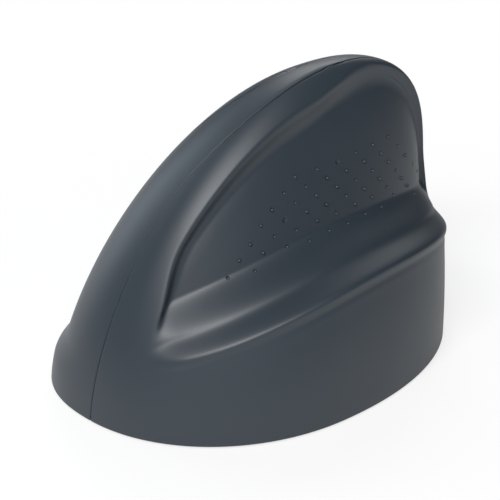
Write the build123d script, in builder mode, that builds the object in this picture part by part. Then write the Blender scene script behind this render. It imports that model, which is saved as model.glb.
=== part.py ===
from build123d import *
import math
import os

os.makedirs("parts", exist_ok=True)

# Ergonomic vertical mouse for the left hand, in millimetres.
# +X is the thumb side, +Y the front, +Z up. The origin is on the table, under the middle of the body.

# Overall body
height = 78.0
rear_y = -55.0
front_y = 55.0
thumb_x = 40.5
finger_x = -40.6
glide_height = 0.6
wall = 2.2
tip_drop = 0.05

# Plan of the body: where it is widest, and where the crest peaks
wide_y = -7.2
mid_x = -2.6
peak_y = 19.5
ridge_x = 3.4
lean = 0.05
thumb_plan = 2.09
finger_plan = 2.32

# Profiles from the table to the crest, each a bow and a rounding exponent
rear_bow = 1.56
rear_round = 1.85
front_bow = 6.9
front_round = 2.13
thumb_bow = 1.87
thumb_round = 1.39
finger_bow = 1.46
finger_round = 2.04
wide_shift = 1.5
crown = 0.9
skirt = 8.0

# Narrow fin above the thumb ledge
fin_x = 27.4
fin_bow = 1.5
fin_round = 1.64
fin_plan = 2.3
fin_low = 4.0
fin_high = 52.0

# Edge of the ledge: highest at its peak, and lower by a curve towards both ends
lip_height = 34.6
lip_peak_y = 13.0
lip_curve = 0.004
lip_bead = 1.0
bead_drop = 0.6
bead_spread = 2.6
crease = 0.5
crease_drop = 2.2
crease_spread = 1.3

# Top of the ledge in two steps above its edge, with a shallow groove between them
outer_step = 2.6
outer_step_share = 0.42
inner_step_low = 2.4
inner_step_high = 7.8

# Hollow behind the rim, as shares of the way from the crest to the foot
rim_start = 0.28
rim_end = 0.44
rim_front = 0.14
rim_front_from = -0.3
rim_front_to = 0.9
rim_lift = 0.06
rim_lift_low = 30.0
rim_lift_high = 46.0
dent = 4.2
dent_end = 0.8
dent_fade = 0.55

# Ledge under the little finger
rest_width = 4.3
rest_low = 6.3
rest_high = 14.8

# Sections of the skin
section_count = 46
section_bias = 1.2
section_low = -6.0
outline_points = 40

# Seam between the thumb shell and the palm shell, as seen from above
seam_gap = 0.2
seam_path = [(-3.0, -60.0), (-2.6, -42.0), (-1.0, -26.0), (2.2, -12.0), (4.3, 2.0), (4.4, 30.0), (4.0, 60.0)]

# Finger side: a plane that lies along the wall under the index and middle fingers
finger_tilt = 20.0
finger_turn = 10.0
finger_setback = 14.6
finger_start_y = 10.0
finger_drop = 32.0
key_gap = 0.5
key_split = 1.0
key_rear = -18.0
key_front = 32.0
key_bottom = -21.0
key_top_rear = 22.0
key_top_mid = 37.5
key_top_front = 32.0
key_top_mid_u = 10.0
key_corner = 3.0
key_inside = 13.2
key_outside = 30.0
key_swing = 1.6

# Hinge of the two keys
hinge_u = -14.0
hinge_depth = 8.0
pin_radius = 0.8
pin_clearance = 0.05
lug_radius = 1.9
lug_width = 4.0
lug_offset = 5.0
ear_radius = 1.7
ear_width = 1.6
ear_gap = 0.3
pin_reach = 0.4

# Layers behind the finger side, measured inwards from its plane
press_gap = 0.15
plunger_proud = 1.2
plunger_length = 1.6
plunger_long = 2.4
plunger_wide = 1.4
plunger_clearance = 0.1
boss_radius = 1.6
switch_high = 5.4
board_depth = 12.6
board_thick = 1.2
frame_thick = 2.0
switch_u = 20.0
index_switch_v = 13.0
middle_switch_v = -11.0
switch_long = 12.8
switch_wide = 5.8
switch_edge = 0.4

# Scroll wheel
wheel_u = 19.0
wheel_v = key_split
wheel_radius = 10.0
wheel_width = 5.6
wheel_depth = 7.3
wheel_clearance = 0.7
tyre_thick = 1.8
tyre_round = 1.2
tyre_ribs = 36
tyre_groove_depth = 0.35
tyre_groove_width = 0.6
hub_slots = 12
hub_slot_width = 1.0
hub_slot_inner = 3.2
hub_slot_outer = 6.4
axle_radius = 1.0
cradle_side_gap = 0.6
cradle_side = 1.2
cradle_lift = 1.4
cheek_rise = 1.9
cheek_long = 4.2
cradle_end_gap = 0.8
cradle_end = 3.6
arm_long = 4.6
arm_wide = 4.4
arm_thick = 1.4
arm_clear = 1.0
post_radius = 0.9
post_clearance = 0.12
post_offset = 1.8
post_short = 0.3
encoder_long = 6.0
encoder_wide = 3.2
encoder_depth = 5.6
encoder_rise = 2.3
encoder_reach = 2.0
wheel_press = 0.5
wheel_hole_gap = 0.8
tact_size = 4.4
tact_high = 2.6
tact_radius = 1.0

# Resolution button behind the wheel
button_u = -5.0
button_long = 4.2
button_wide = 1.9
button_gap = 0.4
button_proud = 0.5
button_clear = 1.4
button_flange = 0.9
button_flange_top = 4.6
button_flange_thick = 0.9
button_press = 0.4
button_switch_wide = 3.4
button_plunger_radius = 0.8
guide_long = 6.0
guide_wall = 1.0
guide_gap = 0.15
guide_top = 6.2
slot_gap = 0.2

# Board behind the keys, and the frame that carries it
key_board_rear = -11.3
key_board_front = 32.5
key_board_bottom = -22.0
key_board_top = 18.0
frame_bottom_v = -60.0
frame_top_v = 19.0
frame_front_u = 33.4
frame_rear_u = -17.0
frame_corner = 2.0
frame_foot_long = 28.0
frame_foot_wide = 11.0
frame_foot_thick = 2.2
frame_foot_u = 3.0
frame_foot_depth = 19.3
frame_notch_u = 17.0
frame_notch_v = -24.0
frame_screw_pitch = 19.0
frame_screw_shift = 1.5

# Base plate
plate_thick = 2.2
plate_gap = 0.15
screw_radius = 1.0
screw_clearance = 0.05
screw_head_radius = 2.1
screw_head_height = 1.3
screw_boss_radius = 3.2
screw_boss_height = 12.0
screw_boss_inset = 5.0
screw_turns = [-42.0, 38.0, 142.0, 222.0]
case_screw_length = 8.0
slot_width = 0.5
slot_depth = 0.6
glide_inset = 3.4
glide_width = 6.0
front_glide_span = (58.0, 122.0)
rear_glide_span = (-124.0, -56.0)
glide_steps = 12

# Main board and what it carries
board_rise = 3.0
main_left = -13.0
main_right = 26.0
main_rear = -22.0
main_front = 34.0
port_x = -8.0
port_tab_wide = 12.0
port_tab_front = 48.4
board_corner = 2.0
standoff_radius = 2.4
standoffs = [(-9.0, -17.0), (21.0, -17.0), (21.0, 27.0), (-9.0, 27.0)]
board_screw_length = 3.6
board_screw_head = 1.8
board_screw_head_height = 1.2

# Chip and crystal on top of the main board
chip_x = 8.0
chip_y = 22.0
chip_size = 7.0
chip_high = 1.0
crystal_x = -3.5
crystal_y = 27.0
crystal_long = 5.0
crystal_wide = 3.2
crystal_high = 1.1

# Optical sensor, under the main board
sensor_x = 2.0
sensor_y = 18.0
sensor_long = 9.0
sensor_wide = 9.0
sensor_high = 1.6
lens_flange_long = 17.0
lens_flange_wide = 11.0
lens_flange_thick = 0.6
lens_shift = 2.0
lens_dome = 2.8
lens_dome_high = 0.7
lens_drop = 1.0
lens_gap = 0.3
lens_slot_long = 11.0
lens_slot_wide = 6.4
led_radius = 1.5
led_gap = 0.2
led_offset = 6.3

# Battery
cell_x = 4.0
cell_y = -4.0
cell_long = 32.0
cell_wide = 22.0
cell_high = 8.0
cell_round = 2.0
pad_thick = 0.8

# Charging port
port_wide = 8.9
port_high = 3.2
port_long = 7.4
port_wall = 0.35
port_floor = 1.2
port_tongue_wide = 6.6
port_tongue_high = 0.7
port_tongue_short = 0.8
port_gap = 0.3
port_front = 53.2

# Power switch under the body
power_x = 24.0
power_y = 8.0
power_long = 8.6
power_wide = 3.6
power_high = 2.6
slider_long = 3.0
slider_wide = 2.0
slider_travel = 3.0
slider_gap = 0.2
slider_recess = 0.5
slider_in_switch = 1.0

# Receiver, stored upright in a bay under the rear of the body
bay_x = -1.0
bay_y = -36.0
bay_gap = 0.3
bay_wall = 1.2
bay_recess = 0.4
receiver_wide = 14.6
receiver_thick = 6.2
receiver_cap_long = 6.6
receiver_round = 1.2
plug_wide = 12.0
plug_thick = 4.5
plug_long = 12.0
plug_wall = 0.4
plug_tongue = 1.8

# Ribbon between the two boards: across, down, through the frame and onto the main board
ribbon_wide = 8.0
ribbon_thick = 0.3
ribbon_u = 5.0
ribbon_hold = 4.0
ribbon_hole_v = -28.0
ribbon_hole_long = 11.0
ribbon_hole_wide = 7.0
ribbon_bend_down = 7.0
ribbon_bend_in = 9.0
ribbon_steps = 10
ribbon_land_x = -7.5

finger_origin = (finger_x + finger_setback, finger_start_y, height - finger_drop)
window_inside = key_inside + math.radians(key_swing) * (key_front - hinge_u) + key_gap
switch_depth = board_depth - switch_high
plunger_depth = switch_depth - plunger_proud
tact_depth = board_depth - tact_high
button_low = tact_depth - button_clear
arm_low = tact_depth - arm_clear
cradle_top = arm_low - arm_thick
cradle_low = board_depth - cradle_lift
cheek_top = wheel_depth - cheek_rise
post_top = cradle_top + post_short
encoder_top = wheel_depth - encoder_rise

base_z = glide_height
plate_top = base_z + plate_thick
board_bottom = plate_top + board_rise
board_top = board_bottom + board_thick


def smooth(low, high, value):
    share = min(max((value - low) / (high - low), 0.0), 1.0)
    return share * share * (3 - 2 * share)


def bell(value, middle, spread):
    return math.exp(-(((value - middle) / spread) ** 2))


def profile(share, bow, rounding):
    return max(1 - share**bow, 0.0) ** (1 / rounding)


def oval(reach_x, reach_y, turn, power):
    c = math.cos(turn)
    s = math.sin(turn)
    size = (abs(c) ** power + abs(s) ** power) ** (-1 / power)
    return reach_x * c * size, reach_y * s * size


def skin_point(level, turn, inset):
    """A point of the skin in plan, at a height and an angle, drawn in by an inset."""
    top = height - inset
    share = min(max(level / top, 0.0), 1.0)
    polar = math.acos(min(((level + skirt) / (top + skirt)) ** (1 / crown), 1.0)) * 2 / math.pi
    c = math.cos(turn)
    s = math.sin(turn)
    rear = peak_y - (peak_y - rear_y - inset) * profile(share, rear_bow, rear_round)
    front = peak_y + (front_y - inset - peak_y) * profile(share, front_bow, front_round)
    thumb = ridge_x + (thumb_x - inset - ridge_x) * profile(share, thumb_bow, thumb_round)
    fin = ridge_x + (fin_x - inset - ridge_x) * profile(share, fin_bow, fin_round)
    finger_reach = ridge_x - finger_x - inset - rest_width
    finger = ridge_x - finger_reach * profile(share, finger_bow, finger_round)
    finger -= rest_width * (1 - smooth(rest_low, rest_high, level + inset))
    wide = wide_y + (peak_y - wide_y) * share**wide_shift
    mid = mid_x + (ridge_x - mid_x) * share
    reach_y = front - wide if s >= 0 else wide - rear
    if c < 0:
        x, y = oval(mid - finger, reach_y, turn, finger_plan)
    else:
        x, y = oval(thumb - mid, reach_y, turn, thumb_plan)
        fin_point = oval(fin - mid, reach_y, turn, fin_plan)
        above = level + inset - lip_height + lip_curve * (wide + y - lip_peak_y) ** 2
        ledge = outer_step_share * smooth(0.0, outer_step, above)
        ledge += (1 - outer_step_share) * smooth(inner_step_low, inner_step_high, above)
        across = polar * c
        rim_shift = rim_front * smooth(rim_front_from, rim_front_to, s)
        rim_shift += rim_lift * smooth(rim_lift_low, rim_lift_high, level + inset)
        rim = smooth(rim_start - rim_shift, rim_end - rim_shift, across)
        flank = smooth(fin_low, fin_high, level)
        blend = flank + (ledge - flank) * rim
        hollow = rim * (1 - dent_fade * smooth(rim_end, dent_end, across))
        x += (fin_point[0] - x) * blend - dent * hollow * ledge
        x += lip_bead * rim * bell(above, -bead_drop, bead_spread)
        x -= crease * rim * bell(above, -crease_drop, crease_spread)
        y += (fin_point[1] - y) * blend
    return mid + x + lean * y, wide + y


def skin_section(level, inset):
    """One closed outline of the skin, its points at even angles."""
    turns = [2 * math.pi * i / outline_points for i in range(outline_points)]
    points = [Vector(*skin_point(level, turn, inset), level) for turn in turns]
    marks = [i / outline_points for i in range(outline_points + 1)]
    return Face(Wire([Edge.make_spline(points, periodic=True, parameters=marks)]))


def skin_levels(low, top):
    steps = [1 - (1 - i / section_count) ** section_bias for i in range(section_count)]
    return [low + (top - low) * step for step in steps] + [top - tip_drop]


def skin_solid(inset):
    """The skin drawn in by an inset, from under the table to the crest."""
    with BuildPart() as solid:
        loft(sections=[skin_section(level, inset) for level in skin_levels(section_low, height - inset)])
    return solid.part


def slab(low, top):
    """A layer wider than the body between two heights."""
    with BuildPart() as layer:
        with BuildSketch(Plane.XY.offset(low)):
            Rectangle(4 * thumb_x, 4 * front_y)
        extrude(amount=top - low)
    return layer.part


outer_skin = skin_solid(0.0) & slab(base_z, 2 * height)
inner_skin = skin_solid(wall)
case_skin = outer_skin - inner_skin

# Frame of the finger side: first axis forwards, second up the slope, third into the body
tilt = math.radians(finger_tilt)
turn_in = math.radians(finger_turn)
finger_plane = Plane(
    origin=finger_origin,
    x_dir=(math.sin(turn_in), math.cos(turn_in), 0),
    z_dir=(math.cos(tilt) * math.cos(turn_in), -math.cos(tilt) * math.sin(turn_in), -math.sin(tilt)),
)


def at_finger(u, v, depth):
    """The plane parallel to the finger side at a point of it."""
    spot = finger_plane.from_local_coords((u, v, depth))
    return Plane(origin=spot, x_dir=finger_plane.x_dir, z_dir=finger_plane.z_dir)


def finger_block(u, v, top, low, long, wide):
    """A plain block that stands on a layer behind the finger side."""
    with BuildPart() as block:
        with BuildSketch(at_finger(u, v, top)):
            Rectangle(long, wide)
        extrude(amount=low - top)
    return block.part


def key_window(spread):
    """The opening of both keys, made larger or smaller all round."""
    with BuildPart() as window:
        with BuildSketch(finger_plane.offset(-key_outside)):
            with BuildLine():
                rear_top = (key_rear, key_top_rear)
                front_top = (key_front, key_top_front)
                ThreePointArc(rear_top, (key_top_mid_u, key_top_mid), front_top)
                Line(front_top, (key_front, key_bottom))
                Line((key_front, key_bottom), (key_rear, key_bottom))
                Line((key_rear, key_bottom), rear_top)
            make_face()
            window_corners = vertices()
            fillet(window_corners, key_corner)
            if spread != 0:
                offset(amount=spread, mode=Mode.REPLACE)
        extrude(amount=key_outside + window_inside)
    return window.part


def slot_block(u, v, half_long, half_wide, reach):
    """A prism with round ends, square to the finger side."""
    with BuildPart() as slot:
        with BuildSketch(at_finger(u, v, -reach)):
            SlotOverall(2 * half_long, 2 * half_wide)
        extrude(amount=2 * reach)
    return slot.part


def seam_side(shift, side):
    """Everything on one side of the seam, to cut a shell with."""
    far = side * 2 * thumb_x
    with BuildPart() as half:
        with BuildSketch(Plane.XY.offset(-1)):
            with BuildLine():
                path = [(x + shift, y) for x, y in seam_path]
                seam = Spline(*path)
                Polyline(path[-1], (far, path[-1][1]), (far, path[0][1]), path[0])
            make_face()
        extrude(amount=height + 2)
    return half.part


def screw_spots():
    level = plate_top + screw_boss_height / 2
    return [skin_point(level, math.radians(turn), screw_boss_inset) for turn in screw_turns]


def screw_bosses(side):
    """Bosses along the inside of the wall, for the screws on one side of the seam."""
    spots = [spot for spot in screw_spots() if (spot[0] > 0) == (side > 0)]
    with BuildPart() as bosses:
        with BuildSketch(Plane.XY.offset(plate_top)):
            with Locations(*spots):
                Circle(screw_boss_radius)
                Circle(screw_radius + screw_clearance, mode=Mode.SUBTRACT)
        extrude(amount=screw_boss_height)
    return bosses.part & outer_skin


# Wheel opening through the keys, long enough for the wheel at the inner face of the wall
wheel_chord = math.sqrt(wheel_radius**2 - (wheel_depth - 2 * wall) ** 2)
wheel_slot_half = wheel_width / 2 + wheel_clearance
wheel_slot = slot_block(wheel_u, wheel_v, wheel_chord + wheel_slot_half, wheel_slot_half, key_inside)
button_slot = slot_block(button_u, key_split, button_long + button_gap, button_wide + button_gap, key_inside)

# Thumb shell
with BuildPart() as thumb_shell:
    add(case_skin)
    add(seam_side(seam_gap / 2, 1), mode=Mode.INTERSECT)
    add(screw_bosses(1))
thumb_shell.part.label = "thumb_shell"
export_step(thumb_shell.part, "parts/thumb_shell.step")

# Palm shell, with the opening for the keys and the mouth of the charging port
with BuildPart() as palm_shell:
    add(case_skin)
    add(seam_side(-seam_gap / 2, -1), mode=Mode.INTERSECT)
    add(screw_bosses(-1))
    add(key_window(0), mode=Mode.SUBTRACT)
    with BuildSketch(Plane.XZ.offset(port_long - port_front)):
        with Locations((port_x, board_top + port_high / 2)):
            SlotOverall(port_wide + 2 * port_gap, port_high + 2 * port_gap)
    extrude(amount=-2 * port_long, mode=Mode.SUBTRACT)
palm_shell.part.label = "palm_shell"
export_step(palm_shell.part, "parts/palm_shell.step")


def key_inner(boss_v, lug_v):
    """The boss over the switch and the arm of the hinge lug, up to the outer skin."""
    with BuildPart() as inner:
        with BuildSketch(at_finger(switch_u, boss_v, plunger_depth - press_gap)):
            Circle(boss_radius)
        extrude(amount=-key_outside)
        with BuildSketch(at_finger(hinge_u, lug_v, hinge_depth)):
            Rectangle(2 * lug_radius, lug_width)
        extrude(amount=-key_outside)
    return inner.part & outer_skin


def across_finger(u, v, depth):
    """The plane square to the hinge pin at a point of the finger side."""
    spot = finger_plane.from_local_coords((u, v, depth))
    return Plane(origin=spot, x_dir=finger_plane.x_dir, z_dir=finger_plane.y_dir)


def key_shell(low_v, high_v, boss_v, lug_v):
    """One key: a piece of the skin with a boss over its switch and a lug for the hinge pin."""
    window_long = 2 * (key_front - key_rear)
    key_part = finger_block(0, (low_v + high_v) / 2, -key_outside, key_inside, window_long, high_v - low_v)
    inner = key_inner(boss_v, lug_v)
    with BuildPart() as key:
        add(case_skin)
        add(key_window(-key_gap), mode=Mode.INTERSECT)
        add(key_part, mode=Mode.INTERSECT)
        add(inner)
        with BuildSketch(across_finger(hinge_u, lug_v - lug_width / 2, hinge_depth)):
            Circle(lug_radius)
        extrude(amount=lug_width)
        with BuildSketch(across_finger(hinge_u, lug_v - lug_width / 2, hinge_depth)):
            Circle(pin_radius + pin_clearance)
        extrude(amount=lug_width, mode=Mode.SUBTRACT)
        add(wheel_slot, mode=Mode.SUBTRACT)
        add(button_slot, mode=Mode.SUBTRACT)
    return key


# Index key and middle key
index_lug_v = key_split + lug_offset
middle_lug_v = key_split - lug_offset
index_key = key_shell(key_split + key_gap / 2, key_top_mid + key_gap, index_switch_v, index_lug_v)
index_key.part.label = "index_key"
export_step(index_key.part, "parts/index_key.step")

middle_key = key_shell(key_bottom - key_gap, key_split - key_gap / 2, middle_switch_v, middle_lug_v)
middle_key.part.label = "middle_key"
export_step(middle_key.part, "parts/middle_key.step")

# Ears of the frame, on both sides of each lug
outer_ear_v = index_lug_v + lug_width / 2 + ear_gap
inner_ear_v = middle_lug_v - lug_width / 2 - ear_gap - ear_width
middle_ear_v = middle_lug_v + lug_width / 2 + ear_gap
middle_ear_width = index_lug_v - lug_width / 2 - ear_gap - middle_ear_v
ears = [(outer_ear_v, ear_width), (inner_ear_v, ear_width), (middle_ear_v, middle_ear_width)]

# Hinge pin, through all the ears and lugs
with BuildPart() as key_hinge_pin:
    with BuildSketch(across_finger(hinge_u, inner_ear_v - pin_reach, hinge_depth)):
        Circle(pin_radius)
    extrude(amount=outer_ear_v + ear_width - inner_ear_v + 2 * pin_reach)
key_hinge_pin.part.label = "key_hinge_pin"
export_step(key_hinge_pin.part, "parts/key_hinge_pin.step")

# Frame that stands on the base plate and carries the keys, their board and the wheel
board_low = board_depth + board_thick
frame_mid_u = (frame_rear_u + frame_front_u) / 2
frame_mid_v = (frame_bottom_v + frame_top_v) / 2
wheel_hole_chord = math.sqrt(wheel_radius**2 - (board_depth - wheel_depth - wheel_press) ** 2)
wheel_hole_long = 2 * (wheel_hole_chord + wheel_hole_gap)
wheel_hole_wide = wheel_width + 2 * wheel_hole_gap
cradle_inner_u = wheel_radius + cradle_end_gap
post_spots = [wheel_u - cradle_inner_u - post_offset, wheel_u + cradle_inner_u + post_offset]
guide_spots = [key_split + side * (button_wide + guide_gap + guide_wall / 2) for side in (-1, 1)]
foot_v = (plate_top - finger_origin[2] + frame_foot_depth * math.sin(tilt)) / math.cos(tilt)
foot_spot = finger_plane.from_local_coords((frame_foot_u, foot_v, frame_foot_depth))
foot_plane = Plane(origin=foot_spot, x_dir=finger_plane.x_dir, z_dir=(0, 0, 1))
with BuildPart() as key_frame:
    with BuildSketch(at_finger(frame_mid_u, frame_mid_v, board_low)):
        RectangleRounded(frame_front_u - frame_rear_u, frame_top_v - frame_bottom_v, frame_corner)
    extrude(amount=frame_thick)
    with BuildSketch(at_finger(0, 0, board_low)):
        with Locations((wheel_u, wheel_v)):
            Rectangle(wheel_hole_long, wheel_hole_wide)
        with Locations((ribbon_u, ribbon_hole_v)):
            RectangleRounded(ribbon_hole_long, ribbon_hole_wide, frame_corner)
        with Locations((frame_notch_u, frame_notch_v)):
            Rectangle(frame_front_u, height, align=(Align.MIN, Align.MAX))
    extrude(amount=frame_thick, mode=Mode.SUBTRACT)
    with BuildSketch(at_finger(0, 0, post_top)):
        with Locations(*[(u, wheel_v) for u in post_spots]):
            Circle(post_radius)
    extrude(amount=board_low - post_top)
    with BuildSketch(at_finger(0, 0, guide_top)):
        with Locations(*[(button_u, v) for v in guide_spots]):
            Rectangle(guide_long, guide_wall)
    extrude(amount=board_low - guide_top)
    for ear_v, width in ears:
        with BuildSketch(across_finger(hinge_u, ear_v, hinge_depth)):
            Circle(ear_radius)
            with Locations((0, (hinge_depth - board_low) / 2)):
                Rectangle(2 * ear_radius, board_low - hinge_depth)
            Circle(pin_radius, mode=Mode.SUBTRACT)
        extrude(amount=width)
    with BuildSketch(foot_plane):
        RectangleRounded(frame_foot_long, frame_foot_wide, frame_corner)
    extrude(amount=frame_foot_thick)
    add(slab(-2 * height, plate_top), mode=Mode.SUBTRACT)
    with BuildSketch(foot_plane):
        with Locations(*[(side * frame_screw_pitch / 2, -frame_screw_shift) for side in (-1, 1)]):
            Circle(screw_radius + screw_clearance)
    extrude(amount=frame_foot_thick, mode=Mode.SUBTRACT)
key_frame.part.label = "key_frame"
export_step(key_frame.part, "parts/key_frame.step")

# Board behind the keys
with BuildPart() as key_board:
    with BuildSketch(at_finger(0, 0, board_depth)):
        with Locations(((key_board_rear + key_board_front) / 2, (key_board_bottom + key_board_top) / 2)):
            RectangleRounded(key_board_front - key_board_rear, key_board_top - key_board_bottom, frame_corner)
        with Locations((wheel_u, wheel_v)):
            Rectangle(wheel_hole_long, wheel_hole_wide, mode=Mode.SUBTRACT)
        with Locations(*[(u, wheel_v) for u in post_spots]):
            Circle(post_radius + slot_gap, mode=Mode.SUBTRACT)
        with Locations(*[(button_u, v) for v in guide_spots]):
            Rectangle(guide_long + 2 * slot_gap, guide_wall + 2 * slot_gap, mode=Mode.SUBTRACT)
    extrude(amount=board_thick)
key_board.part.label = "key_board"
export_step(key_board.part, "parts/key_board.step")

# Switches under the two keys, and the plungers that the keys push
key_travel = math.radians(key_swing) * (switch_u - hinge_u)
plunger_low = plunger_depth + plunger_length


def key_switch(v):
    with BuildPart() as switch:
        with BuildSketch(at_finger(switch_u, v, switch_depth)):
            RectangleRounded(switch_long, switch_wide, switch_edge)
        extrude(amount=board_depth - switch_depth)
        with BuildSketch(at_finger(switch_u, v, switch_depth)):
            Rectangle(plunger_long + 2 * plunger_clearance, plunger_wide + 2 * plunger_clearance)
        extrude(amount=plunger_low + key_travel + plunger_clearance - switch_depth, mode=Mode.SUBTRACT)
    return switch


def key_plunger(v):
    with BuildPart() as plunger:
        with BuildSketch(at_finger(switch_u, v, plunger_depth)):
            Rectangle(plunger_long, plunger_wide)
        extrude(amount=plunger_length)
    return plunger


index_switch = key_switch(index_switch_v)
index_switch.part.label = "index_switch"
export_step(index_switch.part, "parts/index_switch.step")

middle_switch = key_switch(middle_switch_v)
middle_switch.part.label = "middle_switch"
export_step(middle_switch.part, "parts/middle_switch.step")

index_plunger = key_plunger(index_switch_v)
index_plunger.part.label = "index_plunger"
export_step(index_plunger.part, "parts/index_plunger.step")

middle_plunger = key_plunger(middle_switch_v)
middle_plunger.part.label = "middle_plunger"
export_step(middle_plunger.part, "parts/middle_plunger.step")

# Wheel: hub, tyre and axle
wheel_plane = across_finger(wheel_u, wheel_v - wheel_width / 2, wheel_depth)
hub_radius = wheel_radius - tyre_thick
with BuildPart() as wheel_hub:
    with BuildSketch(wheel_plane):
        Circle(hub_radius)
        Circle(axle_radius, mode=Mode.SUBTRACT)
        with PolarLocations((hub_slot_inner + hub_slot_outer) / 2, hub_slots):
            SlotOverall(hub_slot_outer - hub_slot_inner, hub_slot_width, mode=Mode.SUBTRACT)
    extrude(amount=wheel_width)
wheel_hub.part.label = "wheel_hub"
export_step(wheel_hub.part, "parts/wheel_hub.step")

with BuildPart() as wheel_tyre:
    with BuildSketch(wheel_plane):
        Circle(wheel_radius)
    extrude(amount=wheel_width)
    rim_edges = edges().filter_by(GeomType.CIRCLE)
    fillet(rim_edges, tyre_round)
    with BuildSketch(wheel_plane):
        Circle(hub_radius)
        with PolarLocations(wheel_radius, tyre_ribs):
            Rectangle(2 * tyre_groove_depth, tyre_groove_width)
    extrude(amount=wheel_width, mode=Mode.SUBTRACT)
wheel_tyre.part.label = "wheel_tyre"
export_step(wheel_tyre.part, "parts/wheel_tyre.step")

cradle_inner_v = wheel_width / 2 + cradle_side_gap
cradle_outer_v = cradle_inner_v + cradle_side
with BuildPart() as wheel_axle:
    with BuildSketch(across_finger(wheel_u, wheel_v - cradle_outer_v - encoder_reach, wheel_depth)):
        Circle(axle_radius)
    extrude(amount=2 * cradle_outer_v + encoder_reach)
wheel_axle.part.label = "wheel_axle"
export_step(wheel_axle.part, "parts/wheel_axle.step")

# Cradle that carries the wheel, slides on the posts and presses the wheel switch
cradle_outer_u = cradle_inner_u + cradle_end
arm_u = wheel_u - cradle_outer_u - arm_long / 2
with BuildPart() as wheel_cradle:
    with BuildSketch(at_finger(wheel_u, wheel_v, cradle_top)):
        Rectangle(2 * cradle_outer_u, 2 * cradle_outer_v)
        Rectangle(2 * cradle_inner_u, 2 * cradle_inner_v, mode=Mode.SUBTRACT)
    extrude(amount=cradle_low - cradle_top)
    with BuildSketch(at_finger(wheel_u, wheel_v, cheek_top)):
        Rectangle(cheek_long, 2 * cradle_outer_v)
        Rectangle(cheek_long, 2 * cradle_inner_v, mode=Mode.SUBTRACT)
    extrude(amount=cradle_low - cheek_top)
    with BuildSketch(at_finger(arm_u, wheel_v, cradle_top)):
        Rectangle(arm_long, arm_wide)
    extrude(amount=arm_low - cradle_top)
    with BuildSketch(at_finger(0, 0, cradle_top)):
        with Locations(*[(u, wheel_v) for u in post_spots]):
            Circle(post_radius + post_clearance)
    extrude(amount=cradle_low - cradle_top, mode=Mode.SUBTRACT)
    with BuildSketch(across_finger(wheel_u, wheel_v - cradle_outer_v, wheel_depth)):
        Circle(axle_radius + pin_clearance)
    extrude(amount=2 * cradle_outer_v, mode=Mode.SUBTRACT)
wheel_cradle.part.label = "wheel_cradle"
export_step(wheel_cradle.part, "parts/wheel_cradle.step")

with BuildPart() as wheel_encoder:
    with BuildSketch(at_finger(wheel_u, wheel_v - cradle_outer_v - encoder_wide / 2, encoder_top)):
        RectangleRounded(encoder_long, encoder_wide, switch_edge)
    extrude(amount=encoder_depth)
    with BuildSketch(across_finger(wheel_u, wheel_v - cradle_outer_v - encoder_reach - ear_gap, wheel_depth)):
        Circle(axle_radius + pin_clearance)
    extrude(amount=encoder_reach + ear_gap, mode=Mode.SUBTRACT)
wheel_encoder.part.label = "wheel_encoder"
export_step(wheel_encoder.part, "parts/wheel_encoder.step")

# Switch under the arm of the cradle, and its plunger
tact_u = arm_u - (arm_long - tact_size) / 2
wheel_plunger_top = arm_low + press_gap
with BuildPart() as wheel_switch:
    with BuildSketch(at_finger(tact_u, wheel_v, tact_depth)):
        RectangleRounded(tact_size, tact_size, switch_edge)
    extrude(amount=board_depth - tact_depth)
    with BuildSketch(at_finger(tact_u, wheel_v, tact_depth)):
        Circle(tact_radius + plunger_clearance)
    pocket_low = wheel_plunger_top + plunger_length + wheel_press + plunger_clearance
    extrude(amount=pocket_low - tact_depth, mode=Mode.SUBTRACT)
wheel_switch.part.label = "wheel_switch"
export_step(wheel_switch.part, "parts/wheel_switch.step")

with BuildPart() as wheel_switch_plunger:
    with BuildSketch(at_finger(tact_u, wheel_v, wheel_plunger_top)):
        Circle(tact_radius)
    extrude(amount=plunger_length)
wheel_switch_plunger.part.label = "wheel_switch_plunger"
export_step(wheel_switch_plunger.part, "parts/wheel_switch_plunger.step")

# Resolution button, its switch and its plunger
button_skin = skin_solid(-button_proud)
with BuildPart() as resolution_button:
    with BuildSketch(at_finger(button_u, key_split, -key_inside)):
        SlotOverall(2 * button_long, 2 * button_wide)
    extrude(amount=key_inside + button_low)
    add(button_skin, mode=Mode.INTERSECT)
    with BuildSketch(at_finger(button_u, key_split, button_flange_top)):
        SlotOverall(2 * (button_long + button_flange), 2 * (button_wide + button_flange))
    extrude(amount=button_flange_thick)
resolution_button.part.label = "resolution_button"
export_step(resolution_button.part, "parts/resolution_button.step")

button_plunger_top = button_low + press_gap
with BuildPart() as resolution_switch:
    with BuildSketch(at_finger(button_u, key_split, tact_depth)):
        RectangleRounded(tact_size, button_switch_wide, switch_edge)
    extrude(amount=board_depth - tact_depth)
    with BuildSketch(at_finger(button_u, key_split, tact_depth)):
        Circle(button_plunger_radius + plunger_clearance)
    pocket_low = button_plunger_top + plunger_length + button_press + plunger_clearance
    extrude(amount=pocket_low - tact_depth, mode=Mode.SUBTRACT)
resolution_switch.part.label = "resolution_switch"
export_step(resolution_switch.part, "parts/resolution_switch.step")

with BuildPart() as resolution_plunger:
    with BuildSketch(at_finger(button_u, key_split, button_plunger_top)):
        Circle(button_plunger_radius)
    extrude(amount=plunger_length)
resolution_plunger.part.label = "resolution_plunger"
export_step(resolution_plunger.part, "parts/resolution_plunger.step")

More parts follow.
